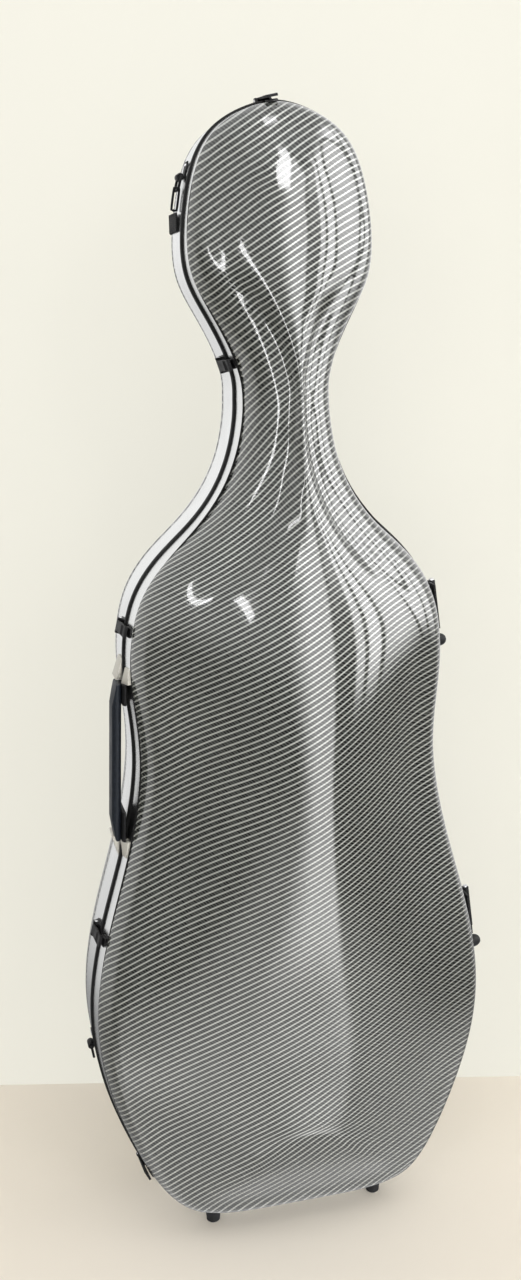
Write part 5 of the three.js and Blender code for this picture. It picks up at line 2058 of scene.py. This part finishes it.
@dataclass
class Pads:
    """The foam pads under plush, swollen by a cloth simulation and then sewn."""

    workshop: Workshop
    voxel: float = 0.004
    shrink: float = 0.0022
    cap: float = 0.0045
    frames: int = 20
    pressure: float = 4.0
    fill: float = 0.9
    seam_deep: float = 0.0022
    seam_wide: float = 0.007

    def remesh(self, piece: bpy.types.Object) -> None:
        """Gives a pad an even net of faces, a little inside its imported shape.

        Args:
            piece: The pad.
        """
        cover = piece.modifiers.new("net", "REMESH")
        cover.mode = "VOXEL"
        cover.voxel_size = self.voxel
        settle(piece)
        bm = bmesh.new()
        bm.from_mesh(piece.data)
        for _ in range(2):
            bmesh.ops.smooth_vert(
                bm, verts=bm.verts, factor=0.5, use_axis_x=True, use_axis_y=True, use_axis_z=True
            )
        bm.normal_update()
        for vert in bm.verts:
            vert.co -= vert.normal * self.shrink
        bm.to_mesh(piece.data)
        bm.free()

    def swell(self, piece: bpy.types.Object) -> None:
        """Blows a pad up from inside, and holds each point within the cap.

        Args:
            piece: The pad.
        """
        before = [vert.co.copy() for vert in piece.data.vertices]
        cloth = piece.modifiers.new("cover", "CLOTH")
        cloth.settings.use_pressure = True
        cloth.settings.uniform_pressure_force = self.pressure
        cloth.settings.effector_weights.gravity = 0.0
        scene = bpy.context.scene
        for frame in range(1, self.frames + 1):
            scene.frame_set(frame)
        graph = bpy.context.evaluated_depsgraph_get()
        after = [vert.co.copy() for vert in piece.evaluated_get(graph).data.vertices]
        piece.modifiers.clear()
        scene.frame_set(1)
        for vert, old, new in zip(piece.data.vertices, before, after):
            move = new - old
            vert.co = old + move * min(1.0, self.cap / max(move.length, LEAST_LENGTH))

    def sew(self, piece: bpy.types.Object, level: float, axis: int) -> None:
        """Draws a seam in round a pad.

        Args:
            piece: The pad.
            level: Where the seam lies along the axis.
            axis: The axis that it is square to, 0 for X, 1 for Y and 2 for Z.
        """
        normal = Vector([1.0 if place == axis else 0.0 for place in range(3)])
        bm = bmesh.new()
        bm.from_mesh(piece.data)
        geom = [*bm.verts, *bm.edges, *bm.faces]
        bmesh.ops.bisect_plane(bm, geom=geom, plane_co=normal * level, plane_no=normal)
        bm.normal_update()
        moves = {}
        for vert in bm.verts:
            share = abs(vert.co[axis] - level) / self.seam_wide
            if share < 1:
                moves[vert] = vert.normal * self.seam_deep * (1 - share) ** 2
        for vert, move in moves.items():
            vert.co -= move
        bm.to_mesh(piece.data)
        bm.free()

    def build_pad(self, node: str, name: str, axis: int) -> None:
        """Builds one pad.

        Args:
            node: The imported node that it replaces.
            name: The new piece's name.
            axis: The axis that its seam is square to.
        """
        piece = make_object(name, merged_copy(node))
        self.remesh(piece)
        self.swell(piece)
        low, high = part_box(node)
        self.sew(piece, (low[axis] + high[axis]) / 2, axis)
        add_subdivision(piece, 1)
        settle(piece)
        self.workshop.dress(piece, Slot.PLUSH, self.workshop.body_of(node), node)

    def build(self) -> None:
        """Builds the cradle, the bout pads, the endpin block and the bow rests."""
        self.build_pad("neck_cradle", "neck_cradle_cushion", 2)
        for bout in ("upper", "lower"):
            for hand in ("left", "right"):
                self.build_pad(f"{bout}_bout_pad_{hand}", f"{bout}_bout_{hand}_cushion", 1)
        self.build_pad("endpin_block", "endpin_cushion", 2)
        self.build_pad("bow_tip_holder", "bow_tip_cushion", 2)
        self.build_pad("bow_clip_bar", "bow_frog_cushion", 0)


@dataclass
class BowFittings:
    """The turning tabs that hold the bows, each on its post."""

    workshop: Workshop
    edge: float = 0.0009
    screw_radius: float = 0.0044
    screw_high: float = 0.0012
    screw_lift: float = 0.0006

    def build(self) -> None:
        """Builds both tabs and the screw heads of their posts."""
        shop = self.workshop
        for hand in ("left", "right"):
            shop.rounded(f"bow_tab_{hand}", f"bow_{hand}_tab", Slot.BLACK_PLASTIC, self.edge, 3)
            post = Vector(shop.joint(f"bow_tab_{hand}_turn")["pos_m"])
            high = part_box(f"bow_tab_{hand}")[1].y
            place = Matrix.Translation((post.x, high + self.screw_lift, post.z)) @ facing(Vector((0, 1, 0)))
            head = rivet_row([place], self.screw_radius, self.screw_high)
            shop.finish(f"bow_{hand}_screw", head, Slot.STEEL, "lid")


def corners(box: tuple[Vector, Vector]) -> list[list[float]]:
    """Returns a box's two corners as plain lists."""
    return [list(corner) for corner in box]


def main() -> None:
    """Builds the picture of the case."""
    logging.basicConfig(level=logging.INFO, format="%(message)s")
    for spare in list(bpy.data.objects):
        bpy.data.objects.remove(spare)
    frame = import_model()
    bpy.context.scene.view_settings.view_transform = "Standard"
    Viewpoint().build()
    workshop = Workshop(frame, build_finishes())
    builders: list[Callable[[], None]] = [
        Pads(workshop).build,
        Rims(workshop).build,
        Shells(workshop).build,
        Linings(workshop).build,
        Latches(workshop).build,
        Hinges(workshop).build,
        Handle(workshop).build,
        Feet(workshop).build,
        StrapFittings(workshop).build,
        BowFittings(workshop).build,
        Studio().build,
    ]
    for build in builders:
        build()
    LOG.info("%d pieces made", len(workshop.made))


if __name__ == "__main__":
    main()
